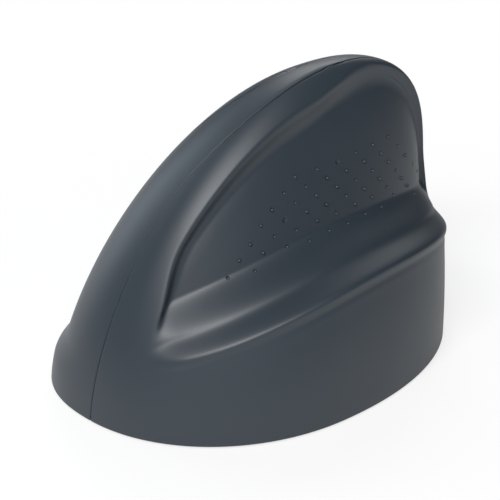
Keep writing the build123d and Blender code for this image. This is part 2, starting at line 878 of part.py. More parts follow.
# Base plate with its openings, standoffs and the bay of the receiver
power_switch_low = board_bottom - power_high
slider_low = base_z + slider_recess
slider_rest_y = power_y - slider_travel / 2
cap_low = base_z + bay_recess
cap_top = cap_low + receiver_cap_long
plug_top = cap_top + plug_long
bay_top = plug_top + bay_gap
lens_y = sensor_y + lens_shift
plate_slab = skin_solid(wall + plate_gap) & slab(base_z, plate_top)
with BuildPart() as base_plate:
    add(plate_slab)
    with BuildSketch(Plane.XY.offset(plate_top)):
        with Locations(*standoffs):
            Circle(standoff_radius)
    extrude(amount=board_rise)
    with BuildSketch(Plane.XY.offset(plate_top)):
        with Locations(*standoffs):
            Circle(screw_radius + screw_clearance)
    extrude(amount=board_rise, mode=Mode.SUBTRACT)
    with BuildSketch(Plane.XY.offset(base_z)):
        with Locations((bay_x, bay_y)):
            Rectangle(receiver_wide + 2 * (bay_gap + bay_wall), receiver_thick + 2 * (bay_gap + bay_wall))
    extrude(amount=cap_top + bay_gap + bay_wall - base_z)
    with BuildSketch(Plane.XY.offset(base_z)):
        with Locations((bay_x, bay_y)):
            Rectangle(plug_wide + 2 * (bay_gap + bay_wall), plug_thick + 2 * (bay_gap + bay_wall))
    extrude(amount=bay_top + bay_wall - base_z)
    with BuildSketch(Plane.XY.offset(base_z)):
        with Locations((bay_x, bay_y)):
            Rectangle(receiver_wide + 2 * bay_gap, receiver_thick + 2 * bay_gap)
    extrude(amount=cap_top + bay_gap - base_z, mode=Mode.SUBTRACT)
    with BuildSketch(Plane.XY.offset(base_z)):
        with Locations((bay_x, bay_y)):
            Rectangle(plug_wide + 2 * bay_gap, plug_thick + 2 * bay_gap)
    extrude(amount=bay_top - base_z, mode=Mode.SUBTRACT)
    with BuildSketch(Plane.XY.offset(base_z)):
        with Locations((sensor_x, lens_y)):
            SlotOverall(lens_slot_long + 2 * lens_gap, lens_slot_wide + 2 * lens_gap, rotation=90)
        with Locations((power_x, power_y)):
            Rectangle(slider_wide + 2 * slider_gap, slider_long + slider_travel + 2 * slider_gap)
        with Locations(*screw_spots()):
            Circle(screw_radius + screw_clearance)
    extrude(amount=plate_thick, mode=Mode.SUBTRACT)
    with BuildSketch(Plane.XY.offset(base_z)):
        with Locations(*screw_spots()):
            Circle(screw_head_radius + screw_clearance)
    extrude(amount=screw_head_height, mode=Mode.SUBTRACT)
    with BuildSketch(foot_plane.offset(-plate_thick)):
        with Locations(*[(side * frame_screw_pitch / 2, -frame_screw_shift) for side in (-1, 1)]):
            Circle(screw_radius + screw_clearance)
    extrude(amount=plate_thick, mode=Mode.SUBTRACT)
    with BuildSketch(foot_plane.offset(-plate_thick)):
        with Locations(*[(side * frame_screw_pitch / 2, -frame_screw_shift) for side in (-1, 1)]):
            Circle(screw_head_radius + screw_clearance)
    extrude(amount=screw_head_height, mode=Mode.SUBTRACT)
base_plate.part.label = "base_plate"
export_step(base_plate.part, "parts/base_plate.step")


def glide(span):
    """A low foot along the edge of the base plate, between two angles."""
    turns = [math.radians(span[0] + (span[1] - span[0]) * i / glide_steps) for i in range(glide_steps + 1)]
    outer = [skin_point(plate_top, turn, wall + glide_inset) for turn in turns]
    inner = [skin_point(plate_top, turn, wall + glide_inset + glide_width) for turn in reversed(turns)]
    with BuildPart() as foot:
        with BuildSketch():
            with BuildLine():
                Spline(*outer)
                Line(outer[-1], inner[0])
                Spline(*inner)
                Line(inner[-1], outer[0])
            make_face()
            fillet(vertices(), glide_width / 3)
        extrude(amount=glide_height)
    return foot


# Low-friction feet
front_glide = glide(front_glide_span)
front_glide.part.label = "front_glide"
export_step(front_glide.part, "parts/front_glide.step")

rear_glide = glide(rear_glide_span)
rear_glide.part.label = "rear_glide"
export_step(rear_glide.part, "parts/rear_glide.step")


def screws_up(plane, spots, length):
    """Screws driven upwards from the underside, each with a slot in its head."""
    with BuildPart() as group:
        with BuildSketch(plane):
            with Locations(*spots):
                Circle(screw_head_radius)
                Rectangle(3 * screw_head_radius, slot_width, mode=Mode.SUBTRACT)
        extrude(amount=slot_depth)
        with BuildSketch(plane.offset(slot_depth)):
            with Locations(*spots):
                Circle(screw_head_radius)
        extrude(amount=screw_head_height - slot_depth)
        with BuildSketch(plane.offset(slot_depth)):
            with Locations(*spots):
                Circle(screw_radius)
        extrude(amount=screw_head_height - slot_depth + length)
    return group


# Screws of the case, the frame and the main board
case_screws = screws_up(Plane.XY.offset(base_z), screw_spots(), case_screw_length)
case_screws.part.label = "case_screws"
export_step(case_screws.part, "parts/case_screws.step")

frame_screw_spots = [(side * frame_screw_pitch / 2, -frame_screw_shift) for side in (-1, 1)]
frame_screw_length = plate_thick - screw_head_height + frame_foot_thick
frame_screws = screws_up(foot_plane.offset(-plate_thick), frame_screw_spots, frame_screw_length)
frame_screws.part.label = "frame_screws"
export_step(frame_screws.part, "parts/frame_screws.step")

with BuildPart() as board_screws:
    with BuildSketch(Plane.XY.offset(board_top)):
        with Locations(*standoffs):
            Circle(board_screw_head)
    extrude(amount=board_screw_head_height - slot_depth)
    with BuildSketch(Plane.XY.offset(board_top + board_screw_head_height - slot_depth)):
        with Locations(*standoffs):
            Circle(board_screw_head)
            Rectangle(3 * board_screw_head, slot_width, mode=Mode.SUBTRACT)
    extrude(amount=slot_depth)
    with BuildSketch(Plane.XY.offset(board_top)):
        with Locations(*standoffs):
            Circle(screw_radius)
    extrude(amount=-board_screw_length)
board_screws.part.label = "board_screws"
export_step(board_screws.part, "parts/board_screws.step")

# Main board, with a tab under the charging port
with BuildPart() as main_board:
    with BuildSketch(Plane.XY.offset(board_bottom)):
        with Locations(((main_left + main_right) / 2, (main_rear + main_front) / 2)):
            RectangleRounded(main_right - main_left, main_front - main_rear, board_corner)
        with Locations((port_x, (main_front + port_tab_front) / 2 - board_corner)):
            Rectangle(port_tab_wide, port_tab_front - main_front + 2 * board_corner)
        with Locations(*standoffs):
            Circle(screw_radius + screw_clearance, mode=Mode.SUBTRACT)
    extrude(amount=board_thick)
main_board.part.label = "main_board"
export_step(main_board.part, "parts/main_board.step")

with BuildPart() as control_chip:
    with BuildSketch(Plane.XY.offset(board_top)):
        with Locations((chip_x, chip_y)):
            Rectangle(chip_size, chip_size)
    extrude(amount=chip_high)
control_chip.part.label = "control_chip"
export_step(control_chip.part, "parts/control_chip.step")

with BuildPart() as radio_crystal:
    with BuildSketch(Plane.XY.offset(board_top)):
        with Locations((crystal_x, crystal_y)):
            RectangleRounded(crystal_wide, crystal_long, switch_edge)
    extrude(amount=crystal_high)
radio_crystal.part.label = "radio_crystal"
export_step(radio_crystal.part, "parts/radio_crystal.step")

# Optical sensor, lens and lamp, over their opening in the base plate
with BuildPart() as optical_sensor:
    with BuildSketch(Plane.XY.offset(board_bottom - sensor_high)):
        with Locations((sensor_x, sensor_y)):
            Rectangle(sensor_wide, sensor_long)
    extrude(amount=sensor_high)
optical_sensor.part.label = "optical_sensor"
export_step(optical_sensor.part, "parts/optical_sensor.step")

with BuildPart() as sensor_lens:
    with BuildSketch(Plane.XY.offset(plate_top)):
        with Locations((sensor_x, lens_y)):
            RectangleRounded(lens_flange_wide, lens_flange_long, board_corner)
    extrude(amount=lens_flange_thick)
    with BuildSketch(Plane.XY.offset(plate_top - lens_drop)):
        with Locations((sensor_x, lens_y)):
            SlotOverall(lens_slot_long, lens_slot_wide, rotation=90)
    extrude(amount=lens_drop)
    with BuildSketch(Plane.XY.offset(plate_top + lens_flange_thick)):
        with Locations((sensor_x, sensor_y)):
            Circle(lens_dome)
    extrude(amount=lens_dome_high)
sensor_lens.part.label = "sensor_lens"
export_step(sensor_lens.part, "parts/sensor_lens.step")

led_low = plate_top + lens_flange_thick + led_gap
with BuildPart() as sensor_led:
    with BuildSketch(Plane.XY.offset(led_low)):
        with Locations((sensor_x, sensor_y + led_offset)):
            Circle(led_radius)
    extrude(amount=board_bottom - led_low)
sensor_led.part.label = "sensor_led"
export_step(sensor_led.part, "parts/sensor_led.step")

# Battery on its pad
with BuildPart() as battery_pad:
    with BuildSketch(Plane.XY.offset(board_top)):
        with Locations((cell_x, cell_y)):
            RectangleRounded(cell_long - 2 * cell_round, cell_wide - 2 * cell_round, cell_round)
    extrude(amount=pad_thick)
battery_pad.part.label = "battery_pad"
export_step(battery_pad.part, "parts/battery_pad.step")

with BuildPart() as battery:
    with BuildSketch(Plane.XY.offset(board_top + pad_thick)):
        with Locations((cell_x, cell_y)):
            Rectangle(cell_long, cell_wide)
    extrude(amount=cell_high)
    long_edges = edges().filter_by(Axis.X)
    fillet(long_edges, cell_round)
battery.part.label = "battery"
export_step(battery.part, "parts/battery.step")

# Charging port: a shell with a tongue in it
port_mid_z = board_top + port_high / 2
port_rear = port_front - port_long
with BuildPart() as charge_port:
    with BuildSketch(Plane.XZ.offset(-port_rear)):
        with Locations((port_x, port_mid_z)):
            SlotOverall(port_wide, port_high)
    extrude(amount=-port_long)
    with BuildSketch(Plane.XZ.offset(-port_rear - port_floor)):
        with Locations((port_x, port_mid_z)):
            SlotOverall(port_wide - 2 * port_wall, port_high - 2 * port_wall)
    extrude(amount=-port_long, mode=Mode.SUBTRACT)
    with BuildSketch(Plane.XZ.offset(-port_rear)):
        with Locations((port_x, port_mid_z)):
            Rectangle(port_tongue_wide, port_tongue_high)
    extrude(amount=port_tongue_short - port_long)
charge_port.part.label = "charge_port"
export_step(charge_port.part, "parts/charge_port.step")

# Power switch and the slider that reaches it through the base plate
with BuildPart() as power_switch:
    with BuildSketch(Plane.XY.offset(power_switch_low)):
        with Locations((power_x, power_y)):
            Rectangle(power_wide, power_long)
            Rectangle(
                slider_wide + 2 * slider_gap, slider_long + slider_travel + 2 * slider_gap, mode=Mode.SUBTRACT
            )
    extrude(amount=slider_in_switch + slider_gap)
    with BuildSketch(Plane.XY.offset(power_switch_low + slider_in_switch + slider_gap)):
        with Locations((power_x, power_y)):
            Rectangle(power_wide, power_long)
    extrude(amount=power_high - slider_in_switch - slider_gap)
power_switch.part.label = "power_switch"
export_step(power_switch.part, "parts/power_switch.step")

with BuildPart() as power_slider:
    with BuildSketch(Plane.XY.offset(slider_low)):
        with Locations((power_x, slider_rest_y)):
            Rectangle(slider_wide, slider_long)
    extrude(amount=power_switch_low + slider_in_switch - slider_low)
power_slider.part.label = "power_slider"
export_step(power_slider.part, "parts/power_slider.step")

# Receiver: plastic cap below, metal plug above
with BuildPart() as receiver_cap:
    with BuildSketch(Plane.XY.offset(cap_low)):
        with Locations((bay_x, bay_y)):
            RectangleRounded(receiver_wide, receiver_thick, receiver_round)
    extrude(amount=receiver_cap_long)
receiver_cap.part.label = "receiver_cap"
export_step(receiver_cap.part, "parts/receiver_cap.step")

with BuildPart() as receiver_plug:
    with BuildSketch(Plane.XY.offset(cap_top)):
        with Locations((bay_x, bay_y)):
            Rectangle(plug_wide, plug_thick)
            Rectangle(plug_wide - 2 * plug_wall, plug_thick - 2 * plug_wall, mode=Mode.SUBTRACT)
        with Locations((bay_x, bay_y - (plug_thick - plug_tongue) / 2)):
            Rectangle(plug_wide, plug_tongue)
    extrude(amount=plug_long)
receiver_plug.part.label = "receiver_plug"
export_step(receiver_plug.part, "parts/receiver_plug.step")

# Ribbon between the boards: its centre line in a plane square to the frame, then its thickness
ribbon_side_u = ribbon_u - ribbon_wide / 2
ribbon_plane = Plane(
    origin=finger_plane.from_local_coords((ribbon_side_u, 0, 0)),
    x_dir=(finger_plane.z_dir.X, finger_plane.z_dir.Y, 0),
    z_dir=finger_plane.x_dir,
)
half_ribbon = ribbon_thick / 2


def on_ribbon(v, depth):
    spot = ribbon_plane.to_local_coords(finger_plane.from_local_coords((ribbon_side_u, v, depth)))
    return Vector(spot.X, spot.Y)


ribbon_start = on_ribbon(key_board_bottom + ribbon_hold, board_depth - half_ribbon)
ribbon_edge = on_ribbon(key_board_bottom - half_ribbon, board_depth - half_ribbon)
land_x = (ribbon_land_x - ribbon_plane.origin.X) / ribbon_plane.x_dir.X
land_y = ribbon_plane.origin.Z - board_top - half_ribbon
ribbon_land = Vector(land_x, land_y)
ribbon_end = Vector(land_x + ribbon_hold, land_y)
down_slope = (ribbon_edge - ribbon_start).normalized()
bend_points = [
    ribbon_edge,
    ribbon_edge + down_slope * ribbon_bend_down,
    ribbon_land - Vector(ribbon_bend_in, 0),
    ribbon_land,
]


def bend(share):
    """A point of the bent stretch and its direction."""
    rest = 1 - share
    p0, p1, p2, p3 = bend_points
    spot = p0 * rest**3 + p1 * 3 * rest**2 * share + p2 * 3 * rest * share**2 + p3 * share**3
    way = (p1 - p0) * rest**2 + (p2 - p1) * 2 * rest * share + (p3 - p2) * share**2
    return spot, way.normalized()


def ribbon_side(side):
    """One face of the ribbon, as points along its bent stretch."""
    spots = [bend(i / ribbon_steps) for i in range(ribbon_steps + 1)]
    return [spot + Vector(-way.Y, way.X) * side * half_ribbon for spot, way in spots]


with BuildPart() as ribbon_cable:
    with BuildSketch(ribbon_plane):
        with BuildLine():
            near = ribbon_side(1)
            far = ribbon_side(-1)
            near_start = near[0] + ribbon_start - ribbon_edge
            far_start = far[0] + ribbon_start - ribbon_edge
            near_end = near[-1] + ribbon_end - ribbon_land
            far_end = far[-1] + ribbon_end - ribbon_land
            ways = [down_slope, Vector(1, 0)]
            Spline(*near, tangents=ways)
            Spline(*far, tangents=ways)
            Line(near_start, near[0])
            Line(far_start, far[0])
            Line(near[-1], near_end)
            Line(far[-1], far_end)
            Line(near_start, far_start)
            Line(near_end, far_end)
        make_face()
    extrude(amount=ribbon_wide)
ribbon_cable.part.label = "ribbon_cable"
export_step(ribbon_cable.part, "parts/ribbon_cable.step")
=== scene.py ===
import math
import bmesh
import bpy
import numpy as np
from bpy.props import FloatProperty, FloatVectorProperty, IntProperty, PointerProperty
from mathutils import Matrix, Vector


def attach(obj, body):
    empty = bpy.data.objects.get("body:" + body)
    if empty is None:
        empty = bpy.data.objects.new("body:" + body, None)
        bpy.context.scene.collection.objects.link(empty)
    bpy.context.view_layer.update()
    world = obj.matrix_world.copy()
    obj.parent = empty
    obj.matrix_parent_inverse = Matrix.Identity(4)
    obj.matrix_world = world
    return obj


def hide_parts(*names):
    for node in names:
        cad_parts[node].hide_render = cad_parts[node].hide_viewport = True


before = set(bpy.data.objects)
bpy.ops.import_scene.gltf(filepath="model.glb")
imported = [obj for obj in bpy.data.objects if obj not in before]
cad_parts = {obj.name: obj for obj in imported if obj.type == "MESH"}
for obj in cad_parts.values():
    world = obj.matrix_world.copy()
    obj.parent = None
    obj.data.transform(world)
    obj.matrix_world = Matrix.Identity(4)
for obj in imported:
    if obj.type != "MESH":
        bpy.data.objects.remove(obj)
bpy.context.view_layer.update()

bl_info = {
    "name": "Vertical mouse",
    "version": (1, 0, 0),
    "blender": (4, 5, 0),
    "location": "3D View > Sidebar > Vertical mouse",
    "description": "Builds a vertical mouse for the left hand on its CAD frame",
    "category": "Object",
}

MM = 0.001

# Rules of the skin, the same as the solids': bow and rounding of each profile
REAR = (1.56, 1.85)
FRONT = (6.9, 2.13)
THUMB = (1.87, 1.39)
FINGER = (1.46, 2.04)
FIN = (1.5, 1.64)
THUMB_PLAN, FINGER_PLAN, FIN_PLAN = 2.09, 2.32, 2.3
WIDE_Y, MID_X, PEAK_Y, RIDGE_X, LEAN = -7.2, -2.6, 19.5, 3.4, 0.05
WIDE_SHIFT, CROWN, SKIRT = 1.5, 0.9, 8.0
FLANK_LOW, FLANK_HIGH = 4.0, 52.0
LIP_PEAK_Y, LIP_CURVE = 13.0, 0.004
OUTER_STEP, OUTER_SHARE, INNER_LOW, INNER_HIGH = 2.6, 0.42, 2.4, 7.8
BEAD_DROP, BEAD_SPREAD, CREASE_DROP, CREASE_SPREAD = 0.6, 2.6, 2.2, 1.3
RIM_START, RIM_END, RIM_FRONT, RIM_FRONT_FROM, RIM_FRONT_TO = 0.28, 0.44, 0.14, -0.3, 0.9
RIM_LIFT, RIM_LIFT_LOW, RIM_LIFT_HIGH = 0.06, 30.0, 46.0
DENT_END, DENT_FADE = 0.8, 0.55
REST_LOW, REST_HIGH = 6.3, 14.8
SEAM_Y = np.array([-60.0, -42.0, -26.0, -12.0, 2.0, 30.0, 60.0])
SEAM_X = np.array([-3.0, -2.6, -1.0, 2.2, 4.3, 4.4, 4.0])

# Plane of the finger side: origin, forwards, up the slope, inwards
TILT, TURN_IN = math.radians(20), math.radians(10)
FINGER_ORIGIN = np.array([-26.0, 10.0, 46.0])
FINGER_U = np.array([math.sin(TURN_IN), math.cos(TURN_IN), 0.0])
FINGER_IN = np.array([
    math.cos(TILT) * math.cos(TURN_IN), -math.cos(TILT) * math.sin(TURN_IN), -math.sin(TILT)])
FINGER_V = np.cross(FINGER_IN, FINGER_U)

# Opening of the keys in the finger plane: its outline, its depths, and how far a key's half reaches
KEY_REAR, KEY_FRONT, KEY_BOTTOM, KEY_CORNER = -18.0, 32.0, -21.0, 3.0
KEY_TOP_REAR, KEY_TOP_MID, KEY_TOP_FRONT, KEY_TOP_MID_U = 22.0, 37.5, 32.0, 10.0
KEY_TOP_STEPS, KEY_TOP_SKIP = 41, 3
KEY_INSIDE, WINDOW_INSIDE, KEY_OUTSIDE, KEY_SPLIT = 13.2, 15.0, 30.0, 1.0
HALF_LONG, HALF_HIGH, HALF_SPARE = 60, 40.0, 2

# Slots between the keys for the wheel and the button: half length and half width, and their depth
WHEEL_SLOT, BUTTON_SLOT, SLOT_INSIDE = (13.07, 3.5), (4.6, 2.3), 20.0
BUTTON_U = -5.0

# Mouth of the charging port at the front: x and height, half width and half height, and its ends
PORT_X, PORT_LEVEL, PORT_SIZE, PORT_ENDS = -8.0, 8.6, (4.75, 1.9), (45.0, 60.0)

# Each slanting row of pits in the thumb hollow: its first and last pit, as y and height, and its count
PIT_ROWS = [
    ((34.9, 56.0), (54.2, 34.3), 7), ((28.6, 55.9), (42.9, 37.8), 7), ((22.0, 55.9), (33.0, 41.3), 6),
    ((15.1, 55.7), (26.6, 40.8), 6), ((8.2, 55.7), (20.0, 41.3), 6), ((1.1, 55.5), (13.0, 41.2), 6),
    ((-3.3, 52.7), (6.6, 41.2), 5), ((-7.8, 49.7), (-0.2, 40.6), 4), ((-11.9, 46.8), (-6.6, 40.6), 3),
    ((-16.0, 43.2), (-13.4, 40.6), 2), ((-19.8, 40.1), (-17.4, 37.5), 2),
    ((-23.8, 36.7), (-23.8, 36.7), 1),
]

# Scroll wheel in the finger plane, and its tyre with ribs that stand a little proud of the tread
WHEEL_U, WHEEL_DEPTH, WHEEL_RADIUS, WHEEL_WIDTH = 19.0, 7.3, 10.0, 5.6
TYRE_THICK, TYRE_ROUND, TYRE_ROUND_STEPS, TYRE_STEPS, TREAD_DROP = 1.8, 1.2, 7, 180, 0.35
RIB_RADIUS, RIB_SINK, RIB_SHORT = 0.5, 0.1, 1.6

# Meshes: how the rows crowd to the crest and what is left open there, the quarter round of an edge,
# the halvings and the step of a search, the pull of a corner, and the angles at which shading breaks
ROW_CROWDING, CREST_GAP = 1.35, 1e-5
QUARTER_ROUND = ((0.08, 0.62), (0.29, 0.29), (0.62, 0.08), (1.0, 0.0))
KEY_COLUMNS, KEY_ROWS = 150, 140
HALVINGS, TURN_STEP, DOUBLES = 40, 0.01, 1e-7
CORNER_PULL, CORNER_SLACK, CORNER_STEPS, END_STEPS = 0.55, 0.45, 8, 14
THUMB_CREASE, SHELL_CREASE, TYRE_CREASE = 50, 35, 40

# Noise and patterns of the finishes, in cells per metre
CLOUDS, STAINS, DUST, CRINKLES, HAZE, MARKS = 55.0, 160.0, 260.0, 340.0, 380.0, 420.0
SOLDER, STREAKS, GRIT = 700.0, 900.0, 5000.0
TRACKS, VIAS, LANES = 230.0, 260.0, 300.0

# Stage, in metres and watts: the paper, the room's light, and each lamp's place, target, size, power
# and colour
WHITE, PAPER, ROOM, ROOM_LIGHT = (1, 1, 1, 1), (0.9, 0.9, 0.9, 1), (0.95, 0.97, 1.0, 1), 0.05
FLOOR_REACH, FADE_FROM, FADE_TO = 1.6, 0.07, 0.17
SEEN_NEAR, SEEN_FADE, SEEN_GLOSSY = 0.7, 0.3, 0.25
LAMPS = {
    "front_softbox": ((0.32, -0.43, 0.63), (0, 0, 0.04), (0.62, 0.14), 7.4, (1, 1, 1)),
    "left_softbox": ((-0.62, -0.12, 0.28), (0, 0, 0.04), (0.34, 0.5), 1.35, (0.84, 0.92, 1.0)),
    "top_softbox": ((-0.4, 0.45, 0.5), (0, 0, 0.05), (0.4, 0.4), 2.2, (1, 1, 1)),
}

# Camera, fitted to the photo: degrees, metres and pixels per millimetre, the picture's width in pixels,
# the target in millimetres and the pixel that it falls on
VIEW_TURN, VIEW_RISE, VIEW_DISTANCE, VIEW_SCALE = 47.03, 27.0, 0.6, 3.888
PICTURE, VIEW_TARGET, TARGET_PIXEL = 500, (3.38, 0, 35), (267.341, 239.345)
FILM, CLIP_START = 36.0, 0.01


class MouseSizes(bpy.types.PropertyGroup):
    """Sizes of the body, in millimetres."""

    height: FloatProperty(
        name="Height", description="Height of the crest above the table", default=78.0, min=60, max=95)
    rear: FloatProperty(
        name="Rear", description="Reach of the body behind the middle", default=55.0, min=45, max=65)
    front: FloatProperty(
        name="Front", description="Reach of the body in front of the middle",
        default=55.0, min=45, max=65)
    thumb: FloatProperty(
        name="Thumb side", description="Reach of the ledge on the thumb side",
        default=40.5, min=32, max=50)
    finger: FloatProperty(
        name="Finger side", description="Reach of the foot on the finger side",
        default=40.6, min=32, max=50)
    fin: FloatProperty(
        name="Fin", description="Reach of the fin above the thumb ledge", default=27.4, min=20, max=34)
    lip: FloatProperty(
        name="Ledge height", description="Greatest height of the ledge's edge",
        default=34.6, min=26, max=42)
    dent: FloatProperty(
        name="Hollow", description="Depth of the thumb hollow", default=4.2, min=0, max=6)
    bead: FloatProperty(
        name="Ledge bead", description="Swell of the ledge's edge", default=1.0, min=0, max=3)
    crease: FloatProperty(
        name="Crease", description="Depth of the crease under the ledge's edge",
        default=0.5, min=0, max=1.5)
    rest: FloatProperty(
        name="Little finger rest", description="Width of the foot under the little finger",
        default=4.3, min=0, max=8)
    base: FloatProperty(
        name="Glide height", description="Height of the body above the table",
        default=0.6, min=0.3, max=1.5)
    wall: FloatProperty(
        name="Wall", description="Thickness of the shells", default=2.2, min=1.2, max=3.5)
    seam: FloatProperty(
        name="Seam gap", description="Gap between the two shells", default=0.2, min=0.1, max=0.8)
    edge: FloatProperty(
        name="Edge rounding", description="Rounding of the shells' edges at the seam",
        default=0.2, min=0.1, max=0.8)
    key_gap: FloatProperty(
        name="Key gap", description="Gap round the keys", default=0.5, min=0.2, max=1.0)
    pit: FloatProperty(
        name="Pit radius", description="Radius of a pit in the thumb hollow",
        default=0.5, min=0.2, max=1.0)
    pit_depth: FloatProperty(
        name="Pit depth", description="Depth of a pit as a share of its radius",
        default=1.0, min=0.2, max=1.2)
    ribs: IntProperty(
        name="Ribs", description="Ribs round the tyre of the wheel", default=36, min=12, max=72)
    columns: IntProperty(
        name="Columns", description="Columns of the shell's mesh round one side",
        default=240, min=60, max=320)
    rows: IntProperty(
        name="Rows", description="Rows of the shell's mesh from base to crest",
        default=230, min=40, max=320)


class MouseColours(bpy.types.PropertyGroup):
    """Colours of the visible finishes."""

    shell: FloatVectorProperty(
        name="Shell", description="Plastic of the shells",
        subtype="COLOR", size=3, default=(0.021, 0.031, 0.042), min=0, max=1)
    keys: FloatVectorProperty(
        name="Keys", description="Plastic of the keys",
        subtype="COLOR", size=3, default=(0.02, 0.029, 0.039), min=0, max=1)
    base: FloatVectorProperty(
        name="Base", description="Plastic of the base plate",
        subtype="COLOR", size=3, default=(0.028, 0.03, 0.034), min=0, max=1)
    tyre: FloatVectorProperty(
        name="Tyre", description="Rubber of the wheel",
        subtype="COLOR", size=3, default=(0.022, 0.024, 0.027), min=0, max=1)


def sizes():
    """The body's sizes, as set in the panel."""
    return bpy.context.scene.mouse_sizes


def colours():
    """The finishes' colours, as set in the panel."""
    return bpy.context.scene.mouse_colours


# Skin

def smooth(low, high, value):
    """A soft step from 0 at a low value to 1 at a high one."""
    share = np.clip((value - low) / (high - low), 0.0, 1.0)
    return share * share * (3 - 2 * share)


def bell(value, middle, spread):
    """A bump of height 1 round a middle value."""
    return np.exp(-(((value - middle) / spread) ** 2))


def profile(share, rule):
    """Reach of a side at a share of the height: from 1 at the table to 0 at the crest."""
    return np.maximum(1 - share ** rule[0], 0.0) ** (1 / rule[1])


def oval(reach_x, reach_y, c, s, power):
    """The point of a squared oval in a direction."""
    size = (np.abs(c) ** power + np.abs(s) ** power) ** (-1 / power)
    return reach_x * c * size, reach_y * s * size


def skin(level, turn, inset):
    """Points of the skin in plan, in millimetres: x and y at heights and angles, set in by an inset."""
    z = sizes()
    given = (np.asarray(value, float) for value in (level, turn, inset))
    level, turn, inset = np.broadcast_arrays(*given)
    top = z.height - inset
    share = np.clip(level / top, 0.0, 1.0)
    polar = np.arccos(np.minimum(((level + SKIRT) / (top + SKIRT)) ** (1 / CROWN), 1.0)) * 2 / math.pi
    c, s = np.cos(turn), np.sin(turn)
    rear = PEAK_Y - (PEAK_Y + z.rear - inset) * profile(share, REAR)
    front = PEAK_Y + (z.front - inset - PEAK_Y) * profile(share, FRONT)
    thumb = RIDGE_X + (z.thumb - inset - RIDGE_X) * profile(share, THUMB)
    fin = RIDGE_X + (z.fin - inset - RIDGE_X) * profile(share, FIN)
    finger = RIDGE_X - (RIDGE_X + z.finger - inset - z.rest) * profile(share, FINGER)
    finger = finger - z.rest * (1 - smooth(REST_LOW, REST_HIGH, level + inset))
    wide = WIDE_Y + (PEAK_Y - WIDE_Y) * share ** WIDE_SHIFT
    mid = MID_X + (RIDGE_X - MID_X) * share
    reach_y = np.where(s >= 0, front - wide, wide - rear)
    palm_x, palm_y = oval(mid - finger, reach_y, c, s, FINGER_PLAN)
    x, y = oval(thumb - mid, reach_y, c, s, THUMB_PLAN)
    fin_x, fin_y = oval(fin - mid, reach_y, c, s, FIN_PLAN)
    above = level + inset - z.lip + LIP_CURVE * (wide + y - LIP_PEAK_Y) ** 2
    outer, inner = smooth(0.0, OUTER_STEP, above), smooth(INNER_LOW, INNER_HIGH, above)
    ledge = OUTER_SHARE * outer + (1 - OUTER_SHARE) * inner
    across = polar * c
    rim_shift = RIM_FRONT * smooth(RIM_FRONT_FROM, RIM_FRONT_TO, s)
    rim_shift = rim_shift + RIM_LIFT * smooth(RIM_LIFT_LOW, RIM_LIFT_HIGH, level + inset)
    rim = smooth(RIM_START - rim_shift, RIM_END - rim_shift, across)
    flank = smooth(FLANK_LOW, FLANK_HIGH, level)
    blend = flank + (ledge - flank) * rim
    hollow = rim * (1 - DENT_FADE * smooth(RIM_END, DENT_END, across))
    x = x + (fin_x - x) * blend - z.dent * hollow * ledge
    bead = z.bead * bell(above, -BEAD_DROP, BEAD_SPREAD)
    x = x + rim * (bead - z.crease * bell(above, -CREASE_DROP, CREASE_SPREAD))
    y = y + (fin_y - y) * blend
    x = np.where(c < 0, palm_x, x)
    y = np.where(c < 0, palm_y, y)
    return mid + x + LEAN * y, wide + y


def seam_x(y):
    """The seam between the shells, seen from above: a natural cubic through its points."""
    n = len(SEAM_Y)
    h = np.diff(SEAM_Y)
    a = np.zeros((n, n))
    b = np.zeros(n)
    a[0, 0] = a[-1, -1] = 1.0
    for i in range(1, n - 1):
        a[i, i - 1:i + 2] = h[i - 1], 2 * (h[i - 1] + h[i]), h[i]
        b[i] = 6 * ((SEAM_X[i + 1] - SEAM_X[i]) / h[i] - (SEAM_X[i] - SEAM_X[i - 1]) / h[i - 1])
    m = np.linalg.solve(a, b)
    i = np.clip(np.searchsorted(SEAM_Y, y) - 1, 0, n - 2)
    t0, t1 = SEAM_Y[i + 1] - y, y - SEAM_Y[i]
    return ((m[i] * t0 ** 3 + m[i + 1] * t1 ** 3) / (6 * h[i])
            + (SEAM_X[i] / h[i] - m[i] * h[i] / 6) * t0
            + (SEAM_X[i + 1] / h[i] - m[i + 1] * h[i] / 6) * t1)


def seam_turn(level, inset, shift, front):
    """The angle at which each level's outline meets the seam, shifted sideways."""
    level = np.asarray(level, float)
    low = np.zeros_like(level) if front else np.full_like(level, math.pi)
    high = low + math.pi
    rising = -1.0 if front else 1.0
    for _ in range(HALVINGS):
        mid = (low + high) / 2
        x, y = skin(level, mid, inset)
        beyond = (x - seam_x(y) - shift) * rising > 0
        high = np.where(beyond, mid, high)
        low = np.where(beyond, low, mid)
    return (low + high) / 2


def on_thumb_side(y, level):
    """The point of the thumb side at a place along the body and a height, and its outward direction."""
    low, high = -math.pi / 2, math.pi / 2
    for _ in range(HALVINGS):
        turn = (low + high) / 2
        if skin(level, turn, 0.0)[1] < y:
            low = turn
        else:
            high = turn

    def spot(level, turn):
        """The point of the skin, as an array."""
        return np.array([*skin(level, turn, 0.0), level], float)

    along = spot(level, turn + TURN_STEP) - spot(level, turn - TURN_STEP)
    up = spot(level + TURN_STEP, turn) - spot(level - TURN_STEP, turn)
    out = np.cross(along, up)
    return spot(level, turn), out / np.linalg.norm(out)


